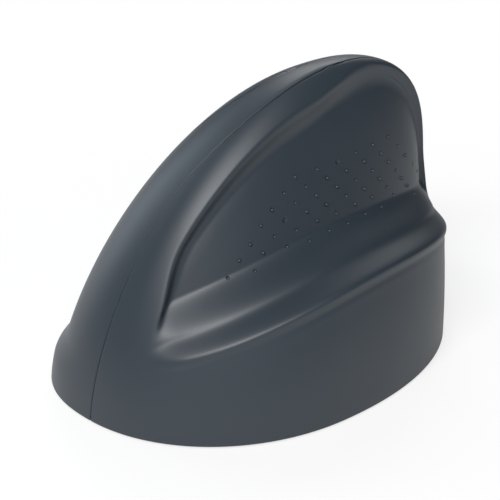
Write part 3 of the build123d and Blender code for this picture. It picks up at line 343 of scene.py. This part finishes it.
def half_skin(side, columns, rows):
    """One shell as a grid of points, row by row: outer skin, rounded edges at the seam, inner skin."""
    z = sizes()
    share = 1 - (1 - np.linspace(0.0, 1.0, rows)) ** ROW_CROWDING
    share[-1] = 1 - CREST_GAP

    def reach(inset, offset, front):
        """Each row's height, and the angle at which it ends near the seam."""
        level = z.base + share * (z.height - inset - z.base)
        return level, seam_turn(level, inset, side * (z.seam / 2 + offset), front)

    def column(level, turn, inset):
        """One point for each row."""
        x, y = skin(level, turn, inset)
        return np.stack([x, y, level], axis=-1)

    def edge(inset, offset, front):
        """A column beside the seam."""
        level, turn = reach(inset, offset, front)
        return column(level, turn, inset)

    def span(inset, offset, count):
        """Columns from one end of the seam round to the other."""
        level, front = reach(inset, offset, True)
        _, rear = reach(inset, offset, False)
        start, end = (rear - 2 * math.pi, front) if side > 0 else (front, rear)
        parts = np.linspace(0, 1, count)
        return [column(level, start * (1 - part) + end * part, inset) for part in parts]

    turns = [(z.edge * inset, z.edge * offset) for inset, offset in QUARTER_ROUND] + [(z.wall / 2, 0.0)]
    near = [edge(inset, offset, side > 0) for inset, offset in turns]
    far = [edge(inset, offset, side < 0) for inset, offset in reversed(turns)]
    inner = span(z.wall, 0.0, columns // 2)[::-1]
    return np.stack(span(0.0, z.edge, columns) + near + inner + far, axis=1)


def mesh_object(name, verts, faces, smooth_faces=True):
    """A mesh object in the scene."""
    mesh = bpy.data.meshes.new(name)
    mesh.from_pydata([tuple(v) for v in verts], [], faces)
    mesh.update()
    if smooth_faces:
        mesh.shade_smooth()
    obj = bpy.data.objects.new(name, mesh)
    bpy.context.scene.collection.objects.link(obj)
    return obj


def shell_object(name, side, columns, rows):
    """A shell from its grid of points: the sides, the wall's foot and the crest."""
    grid = half_skin(side, columns, rows)
    count = grid.shape[1]
    faces = []
    for row in range(rows - 1):
        a, b = row * count, (row + 1) * count
        for i in range(count):
            j = (i + 1) % count
            faces.append((a + i, a + j, b + j, b + i))
    foot_outer = list(range(columns))
    foot_inner = [count - 1 - i for i in range(count - columns)]
    faces += strip(foot_inner, foot_outer)
    top = (rows - 1) * count
    faces.append(tuple(top + i for i in range(count)))
    obj = mesh_object(name, grid.reshape(-1, 3) * MM, faces)
    outwards(obj)
    return obj


def strip(inner, outer):
    """Faces between two rows of different counts that run the same way."""
    faces = []
    last_inner, last_outer = len(inner) - 1, len(outer) - 1
    i = j = 0
    while i < last_inner or j < last_outer:
        if i < last_inner and (j == last_outer or (i + 1) / last_inner <= (j + 1) / last_outer):
            faces.append((inner[i], outer[j], inner[i + 1]))
            i += 1
        else:
            faces.append((inner[i], outer[j], outer[j + 1]))
            j += 1
    return faces


def outwards(obj):
    """Merges doubles and turns every face outwards."""
    bm = bmesh.new()
    bm.from_mesh(obj.data)
    bmesh.ops.remove_doubles(bm, verts=bm.verts, dist=DOUBLES)
    bmesh.ops.recalc_face_normals(bm, faces=bm.faces)
    bm.to_mesh(obj.data)
    bm.free()
    obj.data.update()


def sharpen(obj, degrees):
    """Smooth shading, broken where two faces meet at more than an angle."""
    obj.data.shade_smooth()
    obj.data.set_sharp_from_angle(angle=math.radians(degrees))


# Prisms and outlines

def finger_point(u, v, depth):
    """A point of the finger plane, from forwards, up the slope and inwards."""
    return FINGER_ORIGIN + u * FINGER_U + v * FINGER_V + depth * FINGER_IN


def front_point(x, level, y):
    """A point of an outline that is seen from the front."""
    return np.array([x, y, level])


def prism(name, outline, ends, place):
    """A closed prism: one outline, set in space at two ends."""
    n = len(outline)
    verts = [place(a, b, end) * MM for end in ends for a, b in outline]
    faces = [tuple(range(n)), tuple(range(2 * n - 1, n - 1, -1))]
    faces += [(i, (i + 1) % n, n + (i + 1) % n, n + i) for i in range(n)]
    obj = mesh_object(name, verts, faces, False)
    outwards(obj)
    return obj


def rounded(corners, radius):
    """An outline with each corner rounded off. A corner with a mark on it lies on a curve and stays."""
    out = []
    n = len(corners)
    for i in range(n):
        a, b, c = (np.array(corners[(i + k) % n][:2], float) for k in (-1, 0, 1))
        if len(corners[i]) > 2:
            out.append(tuple(b))
            continue
        start = b + (a - b) / np.linalg.norm(a - b) * radius
        end = b + (c - b) / np.linalg.norm(c - b) * radius
        for k in range(CORNER_STEPS + 1):
            t = k / CORNER_STEPS
            out.append(tuple(
                start * (1 - t) ** 2 + b * 2 * t * (1 - t) * CORNER_PULL
                + (start + end) / 2 * 2 * t * (1 - t) * CORNER_SLACK + end * t ** 2))
    return out


def window_outline(spread):
    """Outline of both keys together: an arc on top, straight sides and foot."""
    rear, front, foot = KEY_REAR - spread, KEY_FRONT + spread, KEY_BOTTOM - spread
    marks = np.array([(KEY_REAR, KEY_TOP_REAR), (KEY_TOP_MID_U, KEY_TOP_MID), (KEY_FRONT, KEY_TOP_FRONT)])
    system = np.column_stack([2 * marks, np.ones(3)])
    middle_u, middle_v, rest = np.linalg.solve(system, (marks ** 2).sum(axis=1))
    radius = math.sqrt(rest + middle_u ** 2 + middle_v ** 2) + spread
    us = np.linspace(rear, front, KEY_TOP_STEPS)
    top = [(u, middle_v + math.sqrt(radius ** 2 - (u - middle_u) ** 2)) for u in us]
    curve = [(u, v, "curve") for u, v in top[KEY_TOP_SKIP:-KEY_TOP_SKIP]]
    return rounded([top[0]] + curve + [top[-1], (front, foot), (rear, foot)], KEY_CORNER + spread)


def slot_outline(u, v, half_long, half_wide):
    """An outline with round ends."""
    out = []
    for side in (1, -1):
        for k in range(END_STEPS + 1):
            a = -side * math.pi / 2 + math.pi * k / END_STEPS
            along = u + side * half_long - side * half_wide + half_wide * math.cos(a)
            out.append((along, v + half_wide * math.sin(a)))
    return out


def cut(obj, cutter, operation="DIFFERENCE"):
    """Cuts a solid with another, or keeps what is inside it, and takes the cutter away."""
    mod = obj.modifiers.new("cut", "BOOLEAN")
    mod.operation = operation
    mod.solver = "EXACT"
    mod.object = cutter
    bake(obj)
    bpy.data.objects.remove(cutter, do_unlink=True)


def bake(obj):
    """Turns an object's modifiers into its mesh."""
    bpy.context.view_layer.update()
    depsgraph = bpy.context.evaluated_depsgraph_get()
    mesh = bpy.data.meshes.new_from_object(obj.evaluated_get(depsgraph))
    old = obj.data
    obj.modifiers.clear()
    obj.data = mesh
    mesh.name = obj.name
    bpy.data.meshes.remove(old)


# Nodes

class Value:
    """A socket that carries a number, with the usual arithmetic."""

    def __init__(self, nodes, socket):
        self.nodes, self.socket = nodes, socket

    def _math(self, operation, other, swap=False):
        pair = [other, self] if swap else [self, other]
        return self.nodes.value("ShaderNodeMath", {"operation": operation}, dict(enumerate(pair)))

    def __add__(self, other):
        return self._math("ADD", other)

    __radd__ = __add__

    def __sub__(self, other):
        return self._math("SUBTRACT", other)

    def __rsub__(self, other):
        return self._math("SUBTRACT", other, True)

    def __mul__(self, other):
        return self._math("MULTIPLY", other)

    __rmul__ = __mul__

    def above(self, other):
        """1 where the number is greater than another, and 0 elsewhere."""
        return self._math("GREATER_THAN", other)


class Nodes:
    """A node tree and one way to make any node in it."""

    def __init__(self, tree):
        self.tree = tree
        tree.nodes.clear()

    def node(self, kind, settings=None, inputs=None):
        """A node of a kind: first its settings, then the values or links of its sockets."""
        node = self.tree.nodes.new(kind)
        for key, setting in (settings or {}).items():
            setattr(node, key, setting)
        for key, value in (inputs or {}).items():
            if isinstance(value, Value):
                value = value.socket
            if isinstance(value, bpy.types.NodeSocket):
                self.tree.links.new(value, node.inputs[key])
            else:
                node.inputs[key].default_value = value
        return node

    def value(self, kind, settings=None, inputs=None, output=0):
        """The number that a new node gives."""
        return Value(self, self.node(kind, settings, inputs).outputs[output])


class Finish(Nodes):
    """A material and the nodes that make it."""

    def __init__(self, name):
        self.material = bpy.data.materials.new(name)
        self.material.use_nodes = True
        super().__init__(self.material.node_tree)
        self.out = self.node("ShaderNodeOutputMaterial")
        self.place = self.node("ShaderNodeTexCoord").outputs["Object"]

    def noise(self, scale, detail=2.0, rough=0.5, stretch=None):
        """Noise from 0 to 1 over the object."""
        where = self.place
        if stretch:
            where = self.node("ShaderNodeMapping", None, {"Vector": where, "Scale": stretch}).outputs[0]
        inputs = {"Vector": where, "Scale": scale, "Detail": detail, "Roughness": rough}
        return self.value("ShaderNodeTexNoise", None, inputs, "Fac")

    def blend(self, factor, a, b):
        """A colour between two, or between a link and a colour."""
        return self.node("ShaderNodeMix", {"data_type": "RGBA"}, {0: factor, 6: a, 7: b}).outputs[2]

    def bump(self, height, distance, strength):
        """A normal that follows a height, over a distance in metres."""
        inputs = {"Height": height, "Distance": distance, "Strength": strength}
        return self.node("ShaderNodeBump", None, inputs).outputs[0]

    def surface(self, **inputs):
        """The finished material: each argument is an input, with underscores for its spaces."""
        shader = self.node("ShaderNodeBsdfPrincipled", None, {
            key.replace("_", " "): value for key, value in inputs.items()})
        self.tree.links.new(shader.outputs[0], self.out.inputs["Surface"])
        return self.material


class Growth(Nodes):
    """A geometry tree that repeats a piece, with named inputs."""

    def __init__(self, name):
        super().__init__(bpy.data.node_groups.new(name, "GeometryNodeTree"))
        for way in ("INPUT", "OUTPUT"):
            self.tree.interface.new_socket(name="Geometry", in_out=way, socket_type="NodeSocketGeometry")
        self.start = self.node("NodeGroupInput")
        self.end = self.node("NodeGroupOutput")
        self.values = {}

    def given(self, name, value, kind="NodeSocketFloat"):
        """A named input of the tree, and the value that it gets."""
        socket = self.tree.interface.new_socket(name=name, in_out="INPUT", socket_type=kind)
        self.values[socket.identifier] = value
        return self.start.outputs[name]

    def grow(self, obj, geometry, material):
        """Runs the tree on an object and keeps the result as its mesh."""
        real = self.node("GeometryNodeRealizeInstances", None, {"Geometry": geometry})
        dressed = self.node("GeometryNodeSetMaterial", None, {
            "Geometry": real.outputs[0], "Material": material})
        self.tree.links.new(dressed.outputs[0], self.end.inputs[0])
        modifier = obj.modifiers.new("growth", "NODES")
        modifier.node_group = self.tree
        for identifier, value in self.values.items():
            modifier[identifier] = value
        bake(obj)
        return obj


# Materials

def rgba(colour, gain=1.0):
    """A colour with its alpha, made darker or lighter."""
    return (colour[0] * gain, colour[1] * gain, colour[2] * gain, 1.0)


def moulded(name, colour, rough, grain=0.35, relief=0.012, mottling=0.06):
    """Matt moulded plastic: fine spark-eroded grain, faint mottling and handling marks."""
    f = Finish(name)
    fine = f.noise(1.0 / (grain * MM), detail=3.0, rough=0.6)
    broad = f.noise(CLOUDS, detail=3.0, rough=0.55)
    marks = f.noise(MARKS, detail=4.0, rough=0.65)
    tone = broad * mottling + marks * (mottling * 0.4) + fine * (mottling * 0.5)
    base = f.blend(tone, rgba(colour, 1 - 0.5 * mottling), rgba(colour, 1.8))
    roughness = rough - 0.05 + broad * 0.06 + fine * 0.05
    return f.surface(Base_Color=base, Roughness=roughness, Specular_IOR_Level=0.62,
                     Normal=f.bump(fine, relief * MM, strength=0.6))


def rubber(name, colour):
    """Dull rubber with a little dust in its grain."""
    f = Finish(name)
    fine = f.noise(GRIT, detail=3.0, rough=0.6)
    dust = f.noise(DUST, detail=4.0, rough=0.7)
    base = f.blend(dust * 0.35, rgba(colour), rgba(colour, 2.4))
    return f.surface(Base_Color=base, Roughness=0.72 + fine * 0.12, Specular_IOR_Level=0.35,
                     Normal=f.bump(fine, 0.02 * MM, strength=0.7))


def metal(name, colour, rough=0.28, stretch=(1.0, 1.0, 14.0)):
    """Drawn or stamped steel with faint streaks."""
    f = Finish(name)
    streak = f.noise(STREAKS, detail=3.0, rough=0.6, stretch=stretch)
    stain = f.noise(STAINS, detail=3.0, rough=0.6)
    base = f.blend(stain * 0.5, rgba(colour), rgba(colour, 0.72))
    return f.surface(Base_Color=base, Metallic=1.0, Roughness=rough + streak * 0.14,
                     Normal=f.bump(streak, 0.006 * MM, strength=0.5))


def circuit(name, colour):
    """Board with solder resist over its tracks, and a few bare vias."""
    f = Finish(name)
    waves = {"Vector": f.place, "Scale": TRACKS, "Distortion": 7.0, "Detail": 0.0, "Detail Scale": 0.6}
    bands = {"wave_type": "BANDS", "bands_direction": "DIAGONAL"}
    track = f.value("ShaderNodeTexWave", bands, waves, "Fac").above(0.72)
    spots = f.value("ShaderNodeTexVoronoi", None, {"Vector": f.place, "Scale": VIAS}, "Distance")
    via = (1 - spots * 3.2).above(0.62)
    base = f.blend(track * 0.5, rgba(colour), rgba(colour, 2.2))
    base = f.blend(via, base, (0.72, 0.66, 0.42, 1.0))
    return f.surface(Base_Color=base, Roughness=0.32 + f.noise(SOLDER) * 0.1, Metallic=via * 0.9,
                     Normal=f.bump(track, 0.03 * MM, strength=0.6))


def package(name, colour):
    """Moulded package of a chip or a switch."""
    return moulded(name, colour, 0.5, grain=0.18, relief=0.01, mottling=0.12)


def pouch(name, colour):
    """Pouch of a battery: crinkled, soft metallic film."""
    f = Finish(name)
    crinkle = f.noise(CRINKLES, detail=5.0, rough=0.6)
    base = f.blend(crinkle * 0.4, rgba(colour), rgba(colour, 0.7))
    return f.surface(Base_Color=base, Metallic=0.85, Roughness=0.34 + crinkle * 0.16,
                     Normal=f.bump(crinkle, 0.12 * MM, strength=0.5))


def film(name, colour):
    """Flexible film with printed conductors."""
    f = Finish(name)
    bands = {"wave_type": "BANDS", "bands_direction": "Y"}
    lanes = f.value("ShaderNodeTexWave", bands, {"Vector": f.place, "Scale": LANES}, "Fac")
    base = f.blend(lanes.above(0.55), rgba(colour), rgba((0.55, 0.25, 0.1)))
    return f.surface(Base_Color=base, Roughness=0.3 + f.noise(STREAKS) * 0.12,
                     Normal=f.bump(lanes, 0.02 * MM, strength=0.5))


def clear(name, colour, alpha):
    """Clear resin with a faint haze."""
    f = Finish(name)
    haze = f.noise(HAZE, detail=3.0, rough=0.6)
    base = f.blend(haze * 0.3, rgba(colour), rgba(colour, 0.85))
    return f.surface(Base_Color=base, Roughness=0.06 + haze * 0.08, Alpha=alpha, Specular_IOR_Level=0.6)


def dress(node, material):
    """Gives a CAD node its material."""
    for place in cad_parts[node].material_slots:
        place.link = "OBJECT"
        place.material = material


def finished(obj, material, body, slot, *nodes):
    """Gives a new piece its material, hides the CAD nodes that it replaces, and gives it its body. The
    slot is not used.
    """
    obj.data.materials.clear()
    obj.data.materials.append(material)
    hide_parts(*nodes)
    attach(obj, body)


# Pieces that repeat

def pits(material):
    """A cutter with one flattened ball for each pit of the thumb hollow."""
    spots, outs = [], []
    for first, last, count in PIT_ROWS:
        for i in range(count):
            share = i / max(count - 1, 1)
            spot, out = on_thumb_side(*(np.array(first) * (1 - share) + np.array(last) * share))
            spots.append(spot * MM)
            outs.append(out)
    obj = mesh_object("pits", spots, [], False)
    facing = obj.data.attributes.new("facing", "FLOAT_VECTOR", "POINT")
    facing.data.foreach_set("vector", np.array(outs).ravel())
    g = Growth("pit_growth")
    radius = g.given("Radius", sizes().pit * MM)
    depth = g.given("Depth", sizes().pit_depth)
    points = g.node("GeometryNodeMeshToPoints", None, {"Mesh": g.start.outputs[0]})
    ball = g.node("GeometryNodeMeshIcoSphere", None, {"Radius": radius, "Subdivisions": 3})
    towards = g.node("GeometryNodeInputNamedAttribute", {"data_type": "FLOAT_VECTOR"}, {"Name": "facing"})
    turn = g.node("FunctionNodeAlignRotationToVector", {"axis": "Z"}, {"Vector": towards.outputs[0]})
    scale = g.node("ShaderNodeCombineXYZ", None, {"X": 1.0, "Y": 1.0, "Z": depth})
    placed = g.node("GeometryNodeInstanceOnPoints", None, {
        "Points": points.outputs[0], "Instance": ball.outputs[0],
        "Rotation": turn.outputs[0], "Scale": scale.outputs[0]})
    return g.grow(obj, placed.outputs[0], material)


def tyre(material):
    """The tyre: a rounded ring with ribs across its tread."""
    half, inner, tread = WHEEL_WIDTH / 2, WHEEL_RADIUS - TYRE_THICK, WHEEL_RADIUS - TREAD_DROP
    angles = np.linspace(0, math.pi / 2, TYRE_ROUND_STEPS)
    corner = [(TYRE_ROUND * math.sin(a), TYRE_ROUND * (1 - math.cos(a))) for a in angles]
    side = [(half - TYRE_ROUND + across, tread - drop) for across, drop in corner]
    outline = [(-half, inner)] + [(-x, r) for x, r in reversed(side)] + side + [(half, inner)]
    n = len(outline)
    verts, faces = [], []
    for k in range(TYRE_STEPS):
        a = 2 * math.pi * k / TYRE_STEPS
        verts += [(r * math.cos(a) * MM, r * math.sin(a) * MM, x * MM) for x, r in outline]
        here, there = k * n, (k + 1) % TYRE_STEPS * n
        faces += [(here + i, here + (i + 1) % n, there + (i + 1) % n, there + i) for i in range(n)]
    obj = mesh_object("tyre", verts, faces)
    outwards(obj)
    g = Growth("tyre_ribs")
    count = g.given("Ribs", sizes().ribs, "NodeSocketInt")
    ring = g.node("GeometryNodeMeshCircle", None, {"Vertices": count, "Radius": (tread - RIB_SINK) * MM})
    rib = g.node("GeometryNodeMeshCylinder", None, {
        "Vertices": 16, "Side Segments": 6, "Radius": RIB_RADIUS * MM,
        "Depth": (WHEEL_WIDTH - RIB_SHORT) * MM})
    placed = g.node("GeometryNodeInstanceOnPoints", None, {
        "Points": ring.outputs[0], "Instance": rib.outputs[0]})
    joined = g.node("GeometryNodeJoinGeometry")
    for part in (g.start.outputs[0], placed.outputs[0]):
        g.tree.links.new(part, joined.inputs[0])
    g.grow(obj, joined.outputs[0], material)
    centre = finger_point(WHEEL_U, KEY_SPLIT, WHEEL_DEPTH) * MM
    axes = np.column_stack([FINGER_U, np.cross(FINGER_V, FINGER_U), FINGER_V])
    obj.data.transform(Matrix.Translation(centre) @ Matrix(axes.tolist()).to_4x4())
    return obj


# Stage

def build_floor():
    """Paper that keeps the mouse's shadow and fades to plain white away from it."""
    low, high = -FLOOR_REACH, FLOOR_REACH
    corners = [(low, low, 0), (high, low, 0), (high, high, 0), (low, high, 0)]
    floor = mesh_object("floor", corners, [(0, 1, 2, 3)], False)
    f = Finish("floor_paper")
    path = f.node("ShaderNodeLightPath")
    paper = f.node("ShaderNodeBsdfDiffuse", None, {"Color": PAPER})
    white = f.node("ShaderNodeEmission", None, {"Color": WHITE, "Strength": 1.0})
    away = f.node("ShaderNodeVectorMath", {"operation": "LENGTH"}, {0: f.place}).outputs["Value"]
    span = {"Value": away, "From Min": FADE_FROM, "From Max": FADE_TO}
    fade = f.value("ShaderNodeMapRange", None, span)
    camera, glossy, through = (
        Value(f, path.outputs[ray]) for ray in ("Is Camera Ray", "Is Glossy Ray", "Is Transmission Ray"))
    seen = camera * (SEEN_NEAR + fade * SEEN_FADE) + glossy * SEEN_GLOSSY + through
    mix = f.node("ShaderNodeMixShader", None, {0: seen, 1: paper.outputs[0], 2: white.outputs[0]})
    f.tree.links.new(mix.outputs[0], f.out.inputs["Surface"])
    floor.data.materials.append(f.material)


def build_world(scene):
    """A dim room that looks white to the camera and through clear pieces."""
    world = bpy.data.worlds.new("studio")
    world.use_nodes = True
    w = Nodes(world.node_tree)
    path = w.node("ShaderNodeLightPath")
    room = w.node("ShaderNodeBackground", None, {"Color": ROOM, "Strength": ROOM_LIGHT})
    white = w.node("ShaderNodeBackground", None, {"Color": WHITE, "Strength": 1.0})
    seen = w.node("ShaderNodeMath", {"operation": "MAXIMUM"}, {
        0: path.outputs["Is Camera Ray"], 1: path.outputs["Is Transmission Ray"]})
    mix = w.node("ShaderNodeMixShader", None, {
        0: seen.outputs[0], 1: room.outputs[0], 2: white.outputs[0]})
    w.node("ShaderNodeOutputWorld", None, {"Surface": mix.outputs[0]})
    scene.world = world


def lamp(name, place, target, size, power, colour):
    """A softbox that faces a target."""
    data = bpy.data.lights.new(name, "AREA")
    data.shape = "RECTANGLE"
    data.size, data.size_y = size
    data.energy = power
    data.color = colour
    obj = bpy.data.objects.new(name, data)
    obj.location = place
    obj.rotation_euler = (Vector(target) - Vector(place)).to_track_quat("-Z", "Y").to_euler()
    bpy.context.scene.collection.objects.link(obj)


def build_camera(scene):
    """The camera that took the photo, as fitted to the mouse's outline."""
    turn, rise = math.radians(VIEW_TURN), math.radians(VIEW_RISE)
    back = Vector((math.sin(turn) * math.cos(rise), -math.cos(turn) * math.cos(rise), math.sin(rise)))
    data = bpy.data.cameras.new("camera")
    data.sensor_width = FILM
    data.lens = VIEW_SCALE * 1000 * VIEW_DISTANCE * FILM / PICTURE
    data.shift_x = (PICTURE / 2 - TARGET_PIXEL[0]) / PICTURE
    data.shift_y = -(PICTURE / 2 - TARGET_PIXEL[1]) / PICTURE
    data.clip_start = CLIP_START
    camera = bpy.data.objects.new("camera", data)
    camera.location = Vector([place * MM for place in VIEW_TARGET]) + back * VIEW_DISTANCE
    camera.rotation_euler = (-back).to_track_quat("-Z", "Y").to_euler()
    scene.collection.objects.link(camera)
    scene.camera = camera


# Steps

class MOUSE_OT_thumb_shell(bpy.types.Operator):
    """Builds the thumb shell with its ledge, hollow and pits"""

    bl_idname = "mouse.thumb_shell"
    bl_label = "Thumb shell"

    def execute(self, context):
        z = sizes()
        obj = shell_object("thumb_side", 1, z.columns, z.rows)
        plastic = moulded("shell_plastic", colours().shell, 0.47)
        cut(obj, pits(plastic))
        sharpen(obj, THUMB_CREASE)
        finished(obj, plastic, "case", "shell", "thumb_shell")
        return {"FINISHED"}


class MOUSE_OT_palm_shell(bpy.types.Operator):
    """Builds the palm shell with the opening for the keys and the mouth of the port"""

    bl_idname = "mouse.palm_shell"
    bl_label = "Palm shell"

    def execute(self, context):
        z = sizes()
        obj = shell_object("palm_side", -1, z.columns, z.rows)
        cut(obj, prism("window", window_outline(0.0), (-KEY_OUTSIDE, WINDOW_INSIDE), finger_point))
        cut(obj, prism("mouth", slot_outline(PORT_X, PORT_LEVEL, *PORT_SIZE), PORT_ENDS, front_point))
        sharpen(obj, SHELL_CREASE)
        finished(obj, bpy.data.materials["shell_plastic"], "case", "shell", "palm_shell")
        return {"FINISHED"}


class MOUSE_OT_keys(bpy.types.Operator):
    """Builds the index key and the middle key"""

    bl_idname = "mouse.keys"
    bl_label = "Keys"

    def execute(self, context):
        gap = sizes().key_gap
        material = moulded("key_plastic", colours().keys, 0.45)
        window, slot = (-KEY_OUTSIDE, KEY_INSIDE), (-KEY_OUTSIDE, SLOT_INSIDE)
        half = (-KEY_OUTSIDE - HALF_SPARE, KEY_INSIDE + HALF_SPARE)
        halves = {
            "index_key": (KEY_SPLIT + gap / 2, HALF_HIGH),
            "middle_key": (-HALF_HIGH, KEY_SPLIT - gap / 2),
        }
        for node, (low, top) in halves.items():
            obj = shell_object(node + "_top", -1, KEY_COLUMNS, KEY_ROWS)
            cut(obj, prism("window", window_outline(-gap), window, finger_point), "INTERSECT")
            sides = [(-HALF_LONG, low), (HALF_LONG, low), (HALF_LONG, top), (-HALF_LONG, top)]
            cut(obj, prism("half", sides, half, finger_point), "INTERSECT")
            for u, size in ((WHEEL_U, WHEEL_SLOT), (BUTTON_U, BUTTON_SLOT)):
                cut(obj, prism("slot", slot_outline(u, KEY_SPLIT, *size), slot, finger_point))
            sharpen(obj, SHELL_CREASE)
            finished(obj, material, node, "key", node)
        return {"FINISHED"}


class MOUSE_OT_wheel(bpy.types.Operator):
    """Builds the ribbed tyre of the wheel"""

    bl_idname = "mouse.wheel"
    bl_label = "Wheel tyre"

    def execute(self, context):
        material = rubber("tyre_rubber", colours().tyre)
        obj = tyre(material)
        sharpen(obj, TYRE_CREASE)
        obj.name = "ribbed_tyre"
        finished(obj, material, "wheel", "wheel_rubber", "wheel_tyre")
        return {"FINISHED"}


class MOUSE_OT_inner(bpy.types.Operator):
    """Gives every other piece of the frame its finish"""

    bl_idname = "mouse.inner"
    bl_label = "Frame pieces"

    def execute(self, context):
        base = moulded("base_plastic", colours().base, 0.55, grain=0.3)
        grey = moulded("frame_plastic", (0.04, 0.042, 0.046), 0.5)
        trim = moulded("trim_plastic", (0.035, 0.042, 0.05), 0.42)
        glide = moulded("glide_plastic", (0.03, 0.032, 0.035), 0.3, grain=0.5, relief=0.004)
        white = moulded("plunger_plastic", (0.7, 0.7, 0.66), 0.3)
        steel = metal("pin_steel", (0.6, 0.6, 0.62))
        zinc = metal("screw_steel", (0.38, 0.38, 0.4), rough=0.34)
        nickel = metal("stamped_steel", (0.62, 0.63, 0.65), rough=0.24, stretch=(1.0, 9.0, 1.0))
        board = circuit("board_green", (0.012, 0.09, 0.045))
        black = package("package_black", (0.02, 0.02, 0.022))
        switch = package("switch_black", (0.03, 0.03, 0.032))
        foam = rubber("pad_foam", (0.09, 0.09, 0.09))
        foil = pouch("pouch_film", (0.5, 0.52, 0.55))
        amber = film("amber_film", (0.6, 0.3, 0.08))
        lens = clear("clear_lens", (0.8, 0.86, 0.9), alpha=0.35)
        resin = clear("lamp_resin", (0.8, 0.25, 0.2), alpha=0.8)
        finishes = {
            base: ["base_plate"],
            grey: ["key_frame", "wheel_cradle", "wheel_hub"],
            trim: ["resolution_button", "power_slider", "receiver_cap"],
            glide: ["front_glide", "rear_glide"],
            white: ["index_plunger", "middle_plunger", "wheel_switch_plunger", "resolution_plunger"],
            steel: ["key_hinge_pin", "wheel_axle"],
            zinc: ["case_screws", "frame_screws", "board_screws"],
            nickel: ["radio_crystal", "charge_port", "receiver_plug"],
            board: ["main_board", "key_board"],
            black: ["control_chip", "optical_sensor"],
            switch: ["index_switch", "middle_switch", "wheel_encoder", "wheel_switch",
                     "resolution_switch", "power_switch"],
            foam: ["battery_pad"],
            foil: ["battery"],
            amber: ["ribbon_cable"],
            lens: ["sensor_lens"],
            resin: ["sensor_led"],
        }
        for material, nodes in finishes.items():
            for node in nodes:
                dress(node, material)
        return {"FINISHED"}


class MOUSE_OT_stage(bpy.types.Operator):
    """Sets up the floor, the world, the lamps and the camera"""

    bl_idname = "mouse.stage"
    bl_label = "Stage"

    def execute(self, context):
        scene = context.scene
        build_floor()
        build_world(scene)
        for name, values in LAMPS.items():
            lamp(name, *values)
        build_camera(scene)
        scene.view_settings.view_transform = "Standard"
        return {"FINISHED"}


class MOUSE_PT_panel(bpy.types.Panel):
    """Sizes, colours and building steps of the mouse"""

    bl_idname = "MOUSE_PT_panel"
    bl_label = "Vertical mouse"
    bl_space_type = "VIEW_3D"
    bl_region_type = "UI"
    bl_category = "Vertical mouse"

    def draw(self, context):
        layout = self.layout
        for group in (context.scene.mouse_sizes, context.scene.mouse_colours):
            box = layout.box()
            for name in group.bl_rna.properties.keys():
                if name not in ("rna_type", "name"):
                    box.prop(group, name)
        for step in STEPS:
            layout.operator(step.bl_idname)


STEPS = (
    MOUSE_OT_thumb_shell, MOUSE_OT_palm_shell, MOUSE_OT_keys,
    MOUSE_OT_wheel, MOUSE_OT_inner, MOUSE_OT_stage)
CLASSES = (MouseSizes, MouseColours) + STEPS + (MOUSE_PT_panel,)


def register():
    for cls in CLASSES:
        bpy.utils.register_class(cls)
    bpy.types.Scene.mouse_sizes = PointerProperty(type=MouseSizes)
    bpy.types.Scene.mouse_colours = PointerProperty(type=MouseColours)


def unregister():
    del bpy.types.Scene.mouse_colours
    del bpy.types.Scene.mouse_sizes
    for cls in reversed(CLASSES):
        bpy.utils.unregister_class(cls)


def main():
    register()
    for step in STEPS:
        family, action = step.bl_idname.split(".")
        getattr(getattr(bpy.ops, family), action)()


if __name__ == "__main__":
    main()
